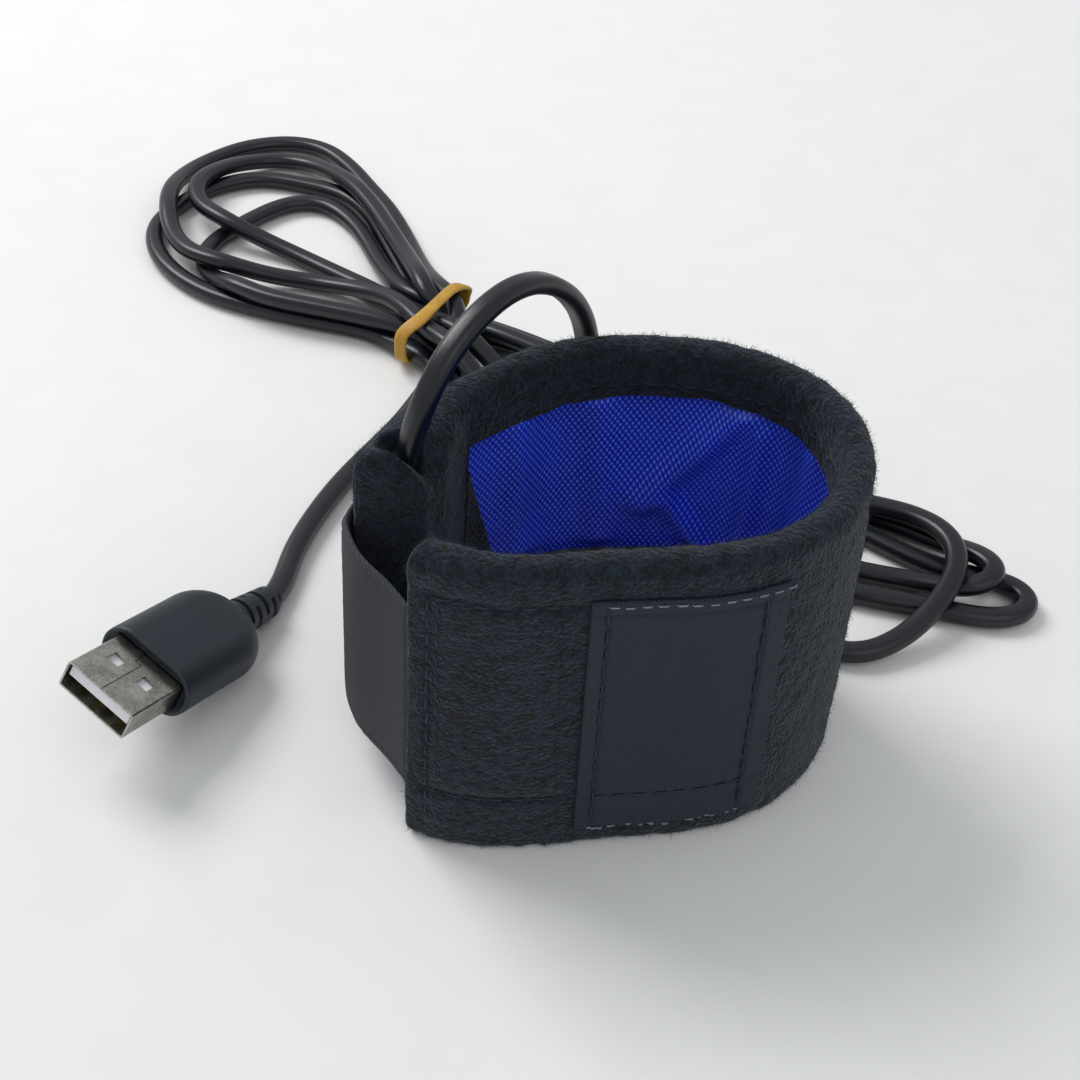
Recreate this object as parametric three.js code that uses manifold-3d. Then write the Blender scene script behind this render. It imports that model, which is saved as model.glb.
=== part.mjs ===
// A dew heater strip for a small telescope: a fleece band closed to a ring by a strip of
// hook tape, with a heating wire behind a woven nylon panel and a lead that ends in a
// USB type A plug. Millimetres, +Z up, the origin at the middle of the ring's underside.
//
// The band is described flat, as it is cut and sewn, and then bent round the ring:
// "along" runs from the flap end to the cable end, "depth" goes from the outer face
// inwards, and "height" goes up from the surface that the band stands on.

import * as THREE from 'three';
import { mergeVertices } from 'three/addons/utils/BufferGeometryUtils.js';
import Module from 'manifold-3d';

const wasm = await Module();
wasm.setup();

// Clearance between pieces that touch
const GAP = 0.3;

// Keeps two round corners of one side from meeting in a point
const HAIR = 0.01;

// Plan of the ring: a squashed circle, the radius of its outer face at each turn
const LOOP_CENTRE_X = 0.7;
const LOOP_CENTRE_Y = 0.3;
const LOOP_RADIUS = 29.2;
const OVAL = 5.7;
const OVAL_TURN = 18.3;
const EGG = 1.0;
const EGG_TURN = -22.8;
const SQUARE = 0.75;
const SQUARE_TURN = 27.3;
const FLAP_TURN = 222;

// Fleece band
const BAND_HEIGHT = 50;
const BAND_LENGTH = 174;
const FLEECE = 1.4;
const LAYERS_ROOM = 2.3;
const BASE_ROUND = 1.5;
const HOLLOW_BASE_ROUND = 0.4;
const RIM_TILT = 1.3;
const RIM_DIP = 0.7;
const RIM_DIP_TURN = 45;

// Pocket for the cable end, the band's last stretch
const POCKET_LENGTH = 28;
const POCKET_RAMP = 13;
const POCKET_SWELL = 4.4;
const MOUTH_WIDTH = 7;
const MOUTH_DEEP = 5.4;
const MOUTH_DROP = 5;
const MOUTH_SIDES = 16;

// Window in the inner fleece, through which the panel shows
const WINDOW_START = 20;
const WINDOW_FROM_END = 26;
const HEM_TOP = 6.5;
const HEM_BOTTOM = 15;

// Heater panel, its carrier and the wire between them
const TUCK = 3;
const TUCK_TOP = 2;
const CARRIER_THICKNESS = 0.3;
const PANEL_THICKNESS = 0.3;
const WIRE_DIAMETER = 0.5;
const WIRE_RUNS = 4;
const WIRE_PITCH = 8;
const WIRE_LOWEST = 13;
const WIRE_FROM_START = 2;
const WIRE_FROM_END = 3;

// Folds that stand proud of the panel: from (along, height) to (along, height),
// then half width and how far they stand out. Along counts back from the cable end.
const PANEL_FOLDS = [
    [36, 43, 38, 16, 3.4, 0.9],
    [50, 43, 52, 17, 3.2, 0.8],
    [58, 24, 73, 41, 2.4, 1.2],
    [62, 24, 69, 16, 2.0, 0.9],
    [76, 38, 75, 18, 2.2, 0.8],
    [88, 42, 84, 18, 3.0, 0.9],
];

// Closure strap of hook tape
const STRAP_WIDTH = 32;
const STRAP_THICKNESS = 1.2;
const STRAP_LOWEST = 7;
const STRAP_TUCK = 9;
const STRAP_OVERLAP = 24;
const STRAP_EDGE = 0.25;

// Sewn label patch, left plain
const LABEL_START = 23.5;
const LABEL_LENGTH = 26;
const LABEL_HEIGHT = 41;
const LABEL_LOWEST = 3.8;
const LABEL_THICKNESS = 0.35;
const LABEL_HEM = 2.4;
const LABEL_HEM_RISE = 0.35;

// Lead: two cores in one jacket
const CORD_DIAMETER = 3.2;
const CORE_DIAMETER = 1.1;
const CORE_BEND = 2.5;
const SLEEVE_DIAMETER = 2.2;
const SLEEVE_LENGTH = 7;
const SLEEVE_FROM_END = 14.6;
const JACKET_FROM_END = 10.5;
const JACKET_DEPTH = 4.7;
const JACKET_END_HEIGHT = 27.5;

// Where the lead runs: from the pocket over the arch and down behind the ring, through
// the turns of the hank, and out of the rubber band to the plug
const CORD_ROUTE = [
    [-27.8, -0.6, 27.5], [-27.7, -0.6, 36], [-27.2, -0.6, 43.5], [-26.3, -0.5, 49], [-24.7, 0.4, 54.6],
    [-22.2, 3.4, 59.8], [-18.4, 9, 63], [-14.6, 14.8, 63.6], [-10.9, 20, 62], [-7.3, 24.5, 58],
    [-4.8, 27.6, 52.6], [-3.5, 29.4, 46], [-3, 30.4, 37], [-3, 31, 27], [-3.4, 32, 17.5],
    [-4.8, 34.2, 9.4], [-7.6, 38.2, 4], [-11, 44, 2], [-14.1, 51.8, 1.9], [-16.9, 61.4, 1.8],
    [-19.9, 70.9, 1.8], [-24.06, 79.91, 1.75], [-26.41, 83.16, 1.75], [-29.13, 86.15, 2.03], [-31.83, 88.96, 2.95],
    [-34.62, 91.35, 3.01], [-37.24, 93.88, 2.08], [-39.89, 96.53, 1.75], [-43.11, 98.17, 1.75], [-46.79, 99.18, 1.75],
    [-50.66, 100.03, 1.75], [-58.4, 101.9, 1.8], [-66.1, 104.3, 1.8], [-73.5, 107.5, 1.8], [-81.2, 113.7, 1.8],
    [-86.7, 121.9, 1.8], [-88.6, 131.4, 1.8], [-85.5, 140.6, 1.8], [-79.8, 148.5, 1.8], [-71.5, 153.1, 1.8],
    [-61.9, 151.8, 1.8], [-53, 148.3, 1.8], [-47, 140.9, 1.8], [-43, 131.7, 1.8], [-39.4, 122.5, 1.8],
    [-35.85, 113.41, 1.75], [-34.74, 109.64, 1.75], [-33.74, 105.49, 1.75], [-31.96, 101.38, 2.95], [-29.44, 98.05, 2.95],
    [-25.88, 96.36, 2.3], [-21.91, 95.58, 1.75], [-17.94, 94.87, 1.75], [-14.14, 93.71, 1.75], [-10.5, 92.1, 1.8],
    [-2, 86.8, 1.8], [6, 81, 1.8], [13.7, 74.6, 1.8], [21.1, 67.9, 1.8], [28.1, 60.7, 1.8],
    [33.8, 55, 1.8], [39.9, 49.9, 1.8], [46.3, 45.1, 1.8], [54.5, 39.4, 1.8], [63.7, 36, 1.8],
    [67.2, 34.7, 1.8], [69.6, 31.3, 1.8], [67, 28.1, 1.8], [59.7, 27.7, 1.8], [51.8, 29.2, 1.8],
    [42, 31, 1.8], [32.7, 34.5, 1.8], [24.2, 39.8, 1.8], [16.5, 46.1, 1.8], [9, 52.7, 1.8],
    [1.6, 59.5, 1.8], [-5.5, 66.5, 1.8], [-12.3, 73.8, 1.8], [-19.13, 81.13, 1.75], [-24.83, 86.87, 1.75],
    [-27.81, 89.69, 1.75], [-30.52, 92.35, 2.95], [-33.44, 94.64, 3.79], [-37, 96.14, 4.77], [-40.9, 97.08, 5.14],
    [-44.82, 98, 5.19], [-48.72, 98.96, 5.18], [-52.6, 99.9, 5.2], [-62.2, 102.5, 5.2], [-69.2, 106.7, 5],
    [-74.6, 113.2, 2.2], [-77.3, 119.8, 1.8], [-76.3, 126.5, 1.8], [-71.3, 134.9, 1.8], [-65, 142.5, 1.8],
    [-60.1, 144.7, 1.8], [-55.2, 143.3, 1.8], [-49.1, 135.8, 1.8], [-45.7, 128.5, 1.8], [-42.5, 120.4, 2.3],
    [-38.74, 111.99, 3.84], [-36.45, 108.41, 4.7], [-33.84, 105.96, 4.99], [-29.17, 104.19, 3.46], [-24.25, 102.25, 2.65],
    [-20.7, 100.93, 2.22], [-17, 99.6, 1.91], [-13.31, 97.84, 1.77], [-9.7, 95.6, 1.8], [-2.7, 91.4, 1.8],
    [5.6, 85.9, 1.8], [13.7, 80, 1.8], [21.3, 73.5, 1.8], [28.1, 66.2, 1.8], [34.8, 58.9, 1.8],
    [42.1, 53.2, 1.8], [50, 49.2, 1.8], [56.7, 44.2, 2.6], [62.4, 36.9, 5], [62.4, 33, 4.2],
    [58.5, 33.6, 2.7], [49.2, 36.4, 1.8], [39.8, 37.6, 1.8], [31.5, 41.9, 1.8], [23.6, 48, 1.8],
    [17.5, 53.1, 1.8], [9.9, 59.6, 1.8], [2.4, 66.2, 1.8], [-5.2, 72.7, 1.8], [-11.22, 77.93, 2.48],
    [-17.17, 83.22, 4.42], [-23.01, 88.59, 7.26], [-26.03, 91.29, 8.16], [-29.05, 94.26, 7.2], [-31.64, 97.75, 5.87],
    [-34.72, 101.59, 4.62], [-37.72, 105.41, 3.28], [-40.64, 109.03, 2.43], [-43.73, 112.1, 1.96], [-50.33, 116.97, 1.75],
    [-58.5, 122.6, 1.9], [-66.7, 126.6, 3.1], [-74.7, 130, 5.2], [-80.9, 136.6, 5], [-82.4, 144.1, 5.1],
    [-79.2, 152.6, 4], [-73.2, 159.3, 2.4], [-67.8, 161.5, 1.9], [-62.4, 160.1, 2.3], [-56, 153.9, 3.8],
    [-50.7, 146.4, 5.1], [-46.6, 139.3, 5.2], [-43.1, 132, 5.2], [-39.8, 124.3, 5.5], [-36.69, 115.77, 6.68],
    [-33.86, 107.31, 8.24], [-31.96, 102.94, 7.2], [-28.57, 100.85, 4.68], [-25.11, 99.13, 4.28], [-21.66, 96.65, 5.04],
    [-18.11, 94.47, 5.2], [-14.52, 92.61, 5.08], [-11, 90.7, 5], [-2.5, 85.5, 5], [5.6, 79.7, 5],
    [13.4, 73.4, 5], [20.9, 66.8, 5.1], [27, 61.6, 5.2], [34.7, 55.4, 5.1], [43, 51, 5],
    [52, 47.6, 5.4], [56.9, 42, 6.1], [57.5, 34.7, 5.9], [53.3, 26.2, 4.5], [47.7, 20.4, 2.7],
    [40.9, 16.9, 1.9], [33.6, 18.6, 1.8], [25.7, 24.5, 1.8], [20, 30.2, 1.8], [13.4, 37.7, 1.8],
    [6.9, 45.3, 1.8], [0.3, 52.8, 1.8], [-6.2, 60.3, 1.8], [-12.6, 68, 2.1], [-17.6, 74.2, 3.6],
    [-22.54, 80.36, 6.29], [-25.02, 83.45, 7.7], [-27.53, 86.62, 8.37], [-30.01, 89.78, 7.64], [-32.36, 93.08, 7.18],
    [-34.61, 96.6, 7.2], [-37, 100.17, 6.84], [-39.68, 103.9, 5.75], [-42.9, 107.29, 4.48], [-46.46, 110.03, 3.36],
    [-54, 113.3, 2.1], [-63.6, 113.8, 2.9], [-73, 114.1, 5.2], [-79.6, 118, 4.8], [-84, 125, 4.3],
    [-86.7, 134.2, 5], [-87.6, 143, 4.2], [-86.3, 152.2, 2.6], [-82.7, 159.8, 1.8], [-75.9, 166.5, 1.8],
    [-66.8, 169.5, 1.8], [-59.6, 167.4, 1.8], [-53.3, 160.2, 1.8], [-48.4, 151.8, 1.8], [-43.6, 143.4, 1.8],
    [-39.7, 134.3, 1.8], [-37, 126.2, 2.5], [-34.25, 116.93, 4.22], [-30.51, 107.34, 6.72], [-28.13, 103.58, 7.2],
    [-26.87, 99.94, 7.2], [-26.14, 95.04, 5.54], [-26.25, 91.52, 4.68], [-26.94, 87.66, 5.04], [-27.99, 83.78, 5.11],
    [-29.24, 80.12, 4.3], [-30.7, 76.5, 3.4], [-34, 69.2, 2.1], [-37.5, 62.1, 1.8], [-41.7, 53, 1.8],
    [-45, 43.6, 1.9], [-47.4, 33.9, 1.9], [-48.52, 23.95, 1.9], [-49.57, 20.21, 2.39],
];

// How far along the route the hank starts, and how long the tail behind it is
const LEAD_LENGTH = 152;
const TAIL_LENGTH = 66;

// Rubber band round the waist of the hank
const WAIST_X = -30.9;
const WAIST_Y = 97.2;
const WAIST_TURN = -25;
const WAIST_BASE = 1.2;
const WAIST_TOP = 9.1;
const TIE_LENGTH = 22;
const TIE_WIDTH = 5;
const TIE_THICKNESS = 0.8;
const TIE_ROUND = 3;
const TIE_BASE_ROUND = 1.4;

// Plug: steel shell, insulator with its tongue, four contacts and the overmould
const SHELL_WIDTH = 12;
const SHELL_HEIGHT = 4.5;
const SHELL_WALL = 0.3;
const SHELL_LENGTH = 17;
const SHELL_CORNER = 0.45;
const SHELL_INNER_CORNER = 0.17;
const SHELL_SHOWS = 10.4;
const WINDOW_SIDE = 2.1;
const WINDOW_APART = 5.4;
const WINDOW_BACK = 5.3;
const SEAM_WIDTH = 0.14;
const SEAM_JOG = 1.1;
const TONGUE_THICKNESS = 1.7;
const TONGUE_RECESS = 0.5;
const CONTACT_WIDTHS = [1.2, 1, 1, 1.2];
const CONTACT_PLACES = [-3.5, -1, 1, 3.5];
const CONTACT_THICKNESS = 0.25;
const CONTACT_LENGTH = 8;
const CONTACT_RECESS = 1.2;
const CONTACT_NOSE = 0.6;
const INSULATOR_BLOCK = 6;
const GRIP_WIDTH = 16;
const GRIP_HEIGHT = 8.2;
const GRIP_LENGTH = 20.5;
const GRIP_SHOULDER = 6;
const GRIP_LIP = 0.7;
const GRIP_NECK_STEP = 0.3;
const GRIP_CROWN = 0.8;
const GRIP_STATIONS = 7;
const RELIEF_LENGTH = 10;
const RELIEF_START = 6.4;
const RELIEF_END = 5;
const RELIEF_SLOTS = 4;
const RELIEF_SLOT_WIDTH = 0.7;
const RELIEF_SLOT_DEPTH = 0.75;
const RELIEF_WEB = 50;
const RELIEF_FIRST_SLOT = 1.4;
const RELIEF_ROOT = 1;
const RELIEF_EDGE = 0.4;
const RELIEF_SIDES = 20;

// Where the plug lies: the middle of its mouth, then its heading, its rise towards
// the mouth and its roll, in degrees
const PLUG_MOUTH = [-67.3, -15.2, 13.75];
const PLUG_HEADING = 63.4;
const PLUG_RISE = 16;
const PLUG_ROLL = 19.6;

// Fineness of the round forms
const STEP_ALONG = 3;
const LOOP_SAMPLES = 720;
const FOLD_SEGMENTS = 3;
const TUBE_SIDES = 8;
const WIRE_SIDES = 6;
const CORE_STEPS = 16;
const SLEEVE_STEPS = 3;
const CORD_STEP = 5.5;
const CORD_SIDES = 6;
const CORD_DIVISIONS = 4000;

// Derived sizes of the band
const WALL = 2 * FLEECE + LAYERS_ROOM;
const CARRIER_DEPTH = FLEECE + GAP;
const WIRE_DEPTH = CARRIER_DEPTH + CARRIER_THICKNESS + GAP + WIRE_DIAMETER / 2;
const PANEL_DEPTH = WIRE_DEPTH + WIRE_DIAMETER / 2 + GAP;
const WINDOW_END = BAND_LENGTH - WINDOW_FROM_END;
const PANEL_LOW = HEM_BOTTOM - TUCK;
const PANEL_HIGH = BAND_HEIGHT - HEM_TOP + TUCK_TOP;

const radians = THREE.MathUtils.degToRad;
const clamp = THREE.MathUtils.clamp;
const smooth = THREE.MathUtils.smoothstep;


// The ring that the band is bent to

function loopRadius(turn) {
    return LOOP_RADIUS
        + OVAL * Math.cos(2 * (turn - radians(OVAL_TURN)))
        + EGG * Math.cos(3 * (turn - radians(EGG_TURN)))
        + SQUARE * Math.cos(4 * (turn - radians(SQUARE_TURN)));
}

function loopPoint(turn) {
    const radius = loopRadius(turn);
    return new THREE.Vector2(
        LOOP_CENTRE_X + radius * Math.cos(turn),
        LOOP_CENTRE_Y + radius * Math.sin(turn));
}

// Distance round the ring at each sampled turn, counted from the flap end
const loopLengths = [0];
for (let i = 1; i <= LOOP_SAMPLES; i++) {
    const before = loopPoint(sampleTurn(i - 1));
    loopLengths.push(loopLengths[i - 1] + before.distanceTo(loopPoint(sampleTurn(i))));
}
const LOOP_LENGTH = loopLengths[LOOP_SAMPLES];
const OPENING = LOOP_LENGTH - BAND_LENGTH;

function sampleTurn(i) {
    return radians(FLAP_TURN) + 2 * Math.PI * i / LOOP_SAMPLES;
}

function turnAt(along) {
    const rounds = Math.floor(along / LOOP_LENGTH);
    const rest = along - rounds * LOOP_LENGTH;
    let i = 1;
    while (i < LOOP_SAMPLES && loopLengths[i] < rest) i++;
    const share = (rest - loopLengths[i - 1]) / (loopLengths[i] - loopLengths[i - 1]);
    return sampleTurn(i - 1 + share) + 2 * Math.PI * rounds;
}

// The rim stands a little higher at the back and dips twice in between
function rimRise(turn) {
    return RIM_TILT * Math.sin(turn) + RIM_DIP * Math.sin(2 * turn - radians(RIM_DIP_TURN));
}

// A point of the flat band, placed on the ring
function bandPoint(along, depth, height) {
    const turn = turnAt(along);
    const point = loopPoint(turn);
    const step = 0.001;
    const tangent = loopPoint(turn + step).sub(loopPoint(turn - step)).normalize();
    const lift = rimRise(turn) * clamp(height / BAND_HEIGHT, 0, 1);
    return new THREE.Vector3(
        point.x - tangent.y * depth, point.y + tangent.x * depth, height + lift);
}

// The inner layer swells away from the outer one where the pocket holds the cable
function swell(along, depth) {
    const start = BAND_LENGTH - POCKET_LENGTH;
    const share = clamp((depth - FLEECE) / LAYERS_ROOM, 0, 1);
    return depth + share * POCKET_SWELL * smooth(along, start, start + POCKET_RAMP);
}


// Making solids

// Extrudes a section (x = depth, y = height) along the flat band and bends it
function strip(section, from, to, depthAt = swell) {
    const steps = Math.max(1, Math.round((to - from) / STEP_ALONG));
    const flat = new THREE.ExtrudeGeometry(
        section, { depth: to - from, steps, bevelEnabled: false, curveSegments: FOLD_SEGMENTS });
    const places = flat.getAttribute('position');
    for (let i = 0; i < places.count; i++) {
        const along = from + places.getZ(i);
        const height = places.getY(i);
        const point = bandPoint(along, depthAt(along, places.getX(i), height), height);
        places.setXYZ(i, point.x, point.y, point.z);
    }
    return flat;
}

function rectangle(depth0, depth1, height0, height1) {
    return new THREE.Shape([
        new THREE.Vector2(depth0, height0), new THREE.Vector2(depth1, height0),
        new THREE.Vector2(depth1, height1), new THREE.Vector2(depth0, height1),
    ]);
}

// A rectangle whose four corners are round, the lower ones by their own radius
function roundedWall(depth0, depth1, height0, height1, topRound, baseRound) {
    const shape = new THREE.Shape();
    shape.moveTo(depth0 + baseRound, height0);
    shape.lineTo(depth1 - baseRound, height0);
    shape.absarc(depth1 - baseRound, height0 + baseRound, baseRound, -Math.PI / 2, 0);
    shape.lineTo(depth1, height1 - topRound);
    shape.absarc(depth1 - topRound, height1 - topRound, topRound, 0, Math.PI / 2);
    shape.absarc(depth0 + topRound, height1 - topRound, topRound, Math.PI / 2, Math.PI);
    shape.lineTo(depth0, height0 + baseRound);
    shape.absarc(depth0 + baseRound, height0 + baseRound, baseRound, Math.PI, 1.5 * Math.PI);
    return shape;
}

function solid(geometry) {
    const bare = geometry.index ? geometry.toNonIndexed() : geometry.clone();
    bare.deleteAttribute('normal');
    bare.deleteAttribute('uv');
    const merged = mergeVertices(bare, 1e-4);
    return new wasm.Manifold(new wasm.Mesh({
        numProp: 3,
        vertProperties: new Float32Array(merged.getAttribute('position').array),
        triVerts: new Uint32Array(merged.index.array),
    }));
}

function geometryOf(manifold) {
    const mesh = manifold.getMesh();
    const geometry = new THREE.BufferGeometry();
    geometry.setAttribute('position', new THREE.BufferAttribute(mesh.vertProperties, 3));
    geometry.setIndex(new THREE.BufferAttribute(mesh.triVerts, 1));
    return geometry;
}

function box(width, length, height, x, y, z) {
    return solid(new THREE.BoxGeometry(width, length, height).translate(x, y, z));
}

function ring(sides, halfWidth, halfHeight = halfWidth) {
    const shape = new THREE.Shape();
    for (let i = 0; i < sides; i++) {
        const turn = 2 * Math.PI * i / sides;
        const place = [halfWidth * Math.cos(turn), halfHeight * Math.sin(turn)];
        if (i) shape.lineTo(...place);
        else shape.moveTo(...place);
    }
    return shape;
}

function tube(curve, diameter, sides, steps) {
    return new THREE.ExtrudeGeometry(
        ring(sides, diameter / 2), { steps, extrudePath: curve, bevelEnabled: false });
}

// A smooth curve through points, cut off square at both ends
function route(points) {
    return new THREE.CatmullRomCurve3(
        points.map((place) => new THREE.Vector3(...place)), false, 'centripetal');
}

// A closed solid through rings of points, each ring an array of as many Vector3
function loft(rings) {
    const sides = rings[0].length;
    const places = rings.flat().flatMap((point) => point.toArray());
    const faces = [];
    for (let r = 0; r + 1 < rings.length; r++) {
        for (let i = 0; i < sides; i++) {
            const a = r * sides + i;
            const b = r * sides + (i + 1) % sides;
            faces.push(a, b, b + sides, a, b + sides, a + sides);
        }
    }
    const last = (rings.length - 1) * sides;
    for (let i = 1; i + 1 < sides; i++) {
        faces.push(0, i + 1, i, last, last + i, last + i + 1);
    }
    const geometry = new THREE.BufferGeometry();
    geometry.setAttribute('position', new THREE.Float32BufferAttribute(places, 3));
    geometry.setIndex(faces);
    return geometry;
}


// Materials

function material(color, roughness, metalness = 0) {
    return new THREE.MeshStandardMaterial({ color, roughness, metalness });
}

const fleece = () => material(0x141d2a, 1);
const nylon = () => material(0x1c34c4, 0.6);
const felt = () => material(0x8d8f92, 1);
const hookTape = () => material(0x3b3f47, 0.8);
const labelCloth = () => material(0x16233a, 0.8);
const wireCoat = () => material(0xb9b4a8, 0.5);
const jacket = () => material(0x10141c, 0.35);
const redCore = () => material(0xa32020, 0.45);
const blackCore = () => material(0x151515, 0.45);
const shrinkTube = () => material(0x1a1a1c, 0.6);
const rubber = () => material(0xc79a35, 0.6);
const gripPlastic = () => material(0x222a35, 0.6);
const steel = () => material(0xa9aba4, 0.3, 1);
const whitePlastic = () => material(0xe6e5ea, 0.5);
const gold = () => material(0xc79b46, 0.3, 1);

function part(name, geometry, finish) {
    const mesh = new THREE.Mesh(geometry, finish);
    mesh.name = name;
    return mesh;
}


// The band

// One folded strip of fleece: outer layer, rolled rims, hems and closed ends
function fleeceBand() {
    const wall = solid(strip(
        roundedWall(0, WALL, 0, BAND_HEIGHT, WALL / 2 - HAIR, BASE_ROUND), 0, BAND_LENGTH));
    const innerRound = LAYERS_ROOM / 2 - HAIR;
    const hollow = solid(strip(
        roundedWall(FLEECE, WALL - FLEECE, FLEECE, BAND_HEIGHT - FLEECE, innerRound,
            HOLLOW_BASE_ROUND),
        FLEECE, BAND_LENGTH - FLEECE));
    const window = solid(strip(
        rectangle(WALL - 1.5 * FLEECE, WALL + FLEECE, HEM_BOTTOM, BAND_HEIGHT - HEM_TOP),
        WINDOW_START, WINDOW_END));
    const strapRoom = STRAP_WIDTH + 2 * GAP;
    const slot = solid(strip(
        rectangle(FLEECE, WALL - FLEECE, STRAP_LOWEST - GAP, STRAP_LOWEST - GAP + strapRoom),
        -FLEECE, 2 * FLEECE));
    return geometryOf(wall.subtract(hollow).subtract(window).subtract(slot).subtract(mouth()));
}


// The mouth that the cable comes out of, an upright oval through the rolled rim
function mouth() {
    const exit = cordExit();
    const oval = new THREE.ExtrudeGeometry(
        ring(MOUTH_SIDES, MOUTH_DEEP / 2, MOUTH_WIDTH / 2),
        { depth: 3 * MOUTH_DROP, bevelEnabled: false });
    oval.translate(exit[0], exit[1], exit[2] - MOUTH_DROP);
    return solid(oval);
}

// Where the lead's route passes the rim
function cordExit() {
    return CORD_ROUTE.find((place) => place[2] > BAND_HEIGHT - FLEECE);
}

// How far the folds lift the panel at a place of the window
function foldRise(along, height) {
    let rise = 0;
    for (const [from0, height0, from1, height1, width, proud] of PANEL_FOLDS) {
        const start = new THREE.Vector3(BAND_LENGTH - from0, height0, 0);
        const end = new THREE.Vector3(BAND_LENGTH - from1, height1, 0);
        const place = new THREE.Vector3(along, height, 0);
        const nearest = new THREE.Line3(start, end).closestPointToPoint(place, true, new THREE.Vector3());
        const away = place.distanceTo(nearest) / width;
        rise += proud * Math.exp(-away * away);
    }
    const edge = smooth(along, WINDOW_START, WINDOW_START + TUCK)
        * smooth(WINDOW_END - along, 0, TUCK)
        * smooth(height, HEM_BOTTOM, HEM_BOTTOM + TUCK)
        * smooth(BAND_HEIGHT - HEM_TOP - height, 0, TUCK);
    return rise * edge;
}

// The woven panel, tucked under the hems on all four sides
function heaterPanel() {
    const rows = Math.round((PANEL_HIGH - PANEL_LOW) / STEP_ALONG);
    const row = (PANEL_HIGH - PANEL_LOW) / rows;
    const section = new THREE.Shape();
    section.moveTo(PANEL_DEPTH, PANEL_LOW);
    for (let i = 0; i <= rows; i++) {
        section.lineTo(PANEL_DEPTH + PANEL_THICKNESS, PANEL_LOW + row * i);
    }
    for (let i = rows; i > 0; i--) {
        section.lineTo(PANEL_DEPTH, PANEL_LOW + row * i);
    }
    return strip(section, WINDOW_START - TUCK, WINDOW_END + TUCK,
        (along, depth, height) => swell(along, depth) + foldRise(along, height));
}

// The felt that the wire is stitched to
function wireCarrier() {
    return strip(
        rectangle(CARRIER_DEPTH, CARRIER_DEPTH + CARRIER_THICKNESS, PANEL_LOW, PANEL_HIGH),
        WINDOW_START - TUCK, WINDOW_END + TUCK);
}

// Heights of the lowest and highest run of the wire, where it meets the leads
const WIRE_HIGHEST = WIRE_LOWEST + (WIRE_RUNS - 1) * WIRE_PITCH;
const WIRE_START = WINDOW_START + WIRE_FROM_START;
const WIRE_TURN_BACK = WINDOW_END - WIRE_FROM_END;
const SLEEVE_END = BAND_LENGTH - SLEEVE_FROM_END - SLEEVE_LENGTH;

// A to-and-fro line over the panel with a half round at each turn
class HeatingLine extends THREE.Curve {
    constructor() {
        super();
        const flat = new THREE.CurvePath();
        const bend = WIRE_PITCH / 2;
        let from = new THREE.Vector2(SLEEVE_END - GAP, WIRE_LOWEST);
        for (let run = 0; run < WIRE_RUNS; run++) {
            const outward = run % 2 === 0;
            const height = WIRE_LOWEST + run * WIRE_PITCH;
            const isLast = run === WIRE_RUNS - 1;
            const far = outward ? WIRE_START + bend : WIRE_TURN_BACK - bend;
            const to = new THREE.Vector2(isLast ? SLEEVE_END - GAP : far, height);
            flat.add(new THREE.LineCurve(from, to));
            if (isLast) break;
            flat.add(new THREE.EllipseCurve(
                to.x, height + bend, bend, bend, -Math.PI / 2, Math.PI / 2, outward));
            from = new THREE.Vector2(to.x, height + WIRE_PITCH);
        }
        this.flat = flat;
    }

    getPoint(share) {
        const place = this.flat.getPoint(share);
        return bandPoint(place.x, swell(place.x, WIRE_DEPTH), place.y);
    }
}

function heatingWire() {
    const line = new HeatingLine();
    return tube(line, WIRE_DIAMETER, WIRE_SIDES, Math.round(line.getLength() / STEP_ALONG));
}

// Sleeve over the joint of a core and one end of the wire
function spliceDepth(along) {
    return swell(along, WIRE_DEPTH) + SLEEVE_DIAMETER / 2;
}

function spliceSleeve(height) {
    const from = SLEEVE_END;
    const points = [0, 0.5, 1].map((share) => {
        const along = from + share * SLEEVE_LENGTH;
        return bandPoint(along, spliceDepth(from), height).toArray();
    });
    return tube(route(points), SLEEVE_DIAMETER, TUBE_SIDES, SLEEVE_STEPS);
}

// A core from the end of the jacket to its splice: the upper one doubles back past the jacket
function leadCore(height, side) {
    const along = BAND_LENGTH - JACKET_FROM_END;
    const beside = JACKET_DEPTH + side * (CORE_DIAMETER + GAP) / 2;
    const start = SLEEVE_END + SLEEVE_LENGTH + GAP;
    const end = JACKET_END_HEIGHT - GAP;
    const column = start + CORE_DIAMETER;
    const depth = spliceDepth(SLEEVE_END);
    const doublesBack = height > JACKET_END_HEIGHT;
    const middle = doublesBack
        ? [[along, beside, end - CORE_BEND], [(along + column) / 2, beside, end - 2 * CORE_BEND],
            [column, beside, end - CORE_BEND], [column, depth, height - CORE_BEND],
            [start + CORE_DIAMETER / 2, depth, height]]
        : [[along, beside, end - CORE_BEND], [along - CORE_DIAMETER / 2, beside, (end + height) / 2],
            [column + CORE_DIAMETER / 2, depth, height + CORE_DIAMETER]];
    const places = [[along, beside, end], ...middle, [start, depth, height]];
    const points = places.map((place) => bandPoint(...place).toArray());
    return tube(route(points), CORE_DIAMETER, WIRE_SIDES, CORE_STEPS);
}

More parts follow.
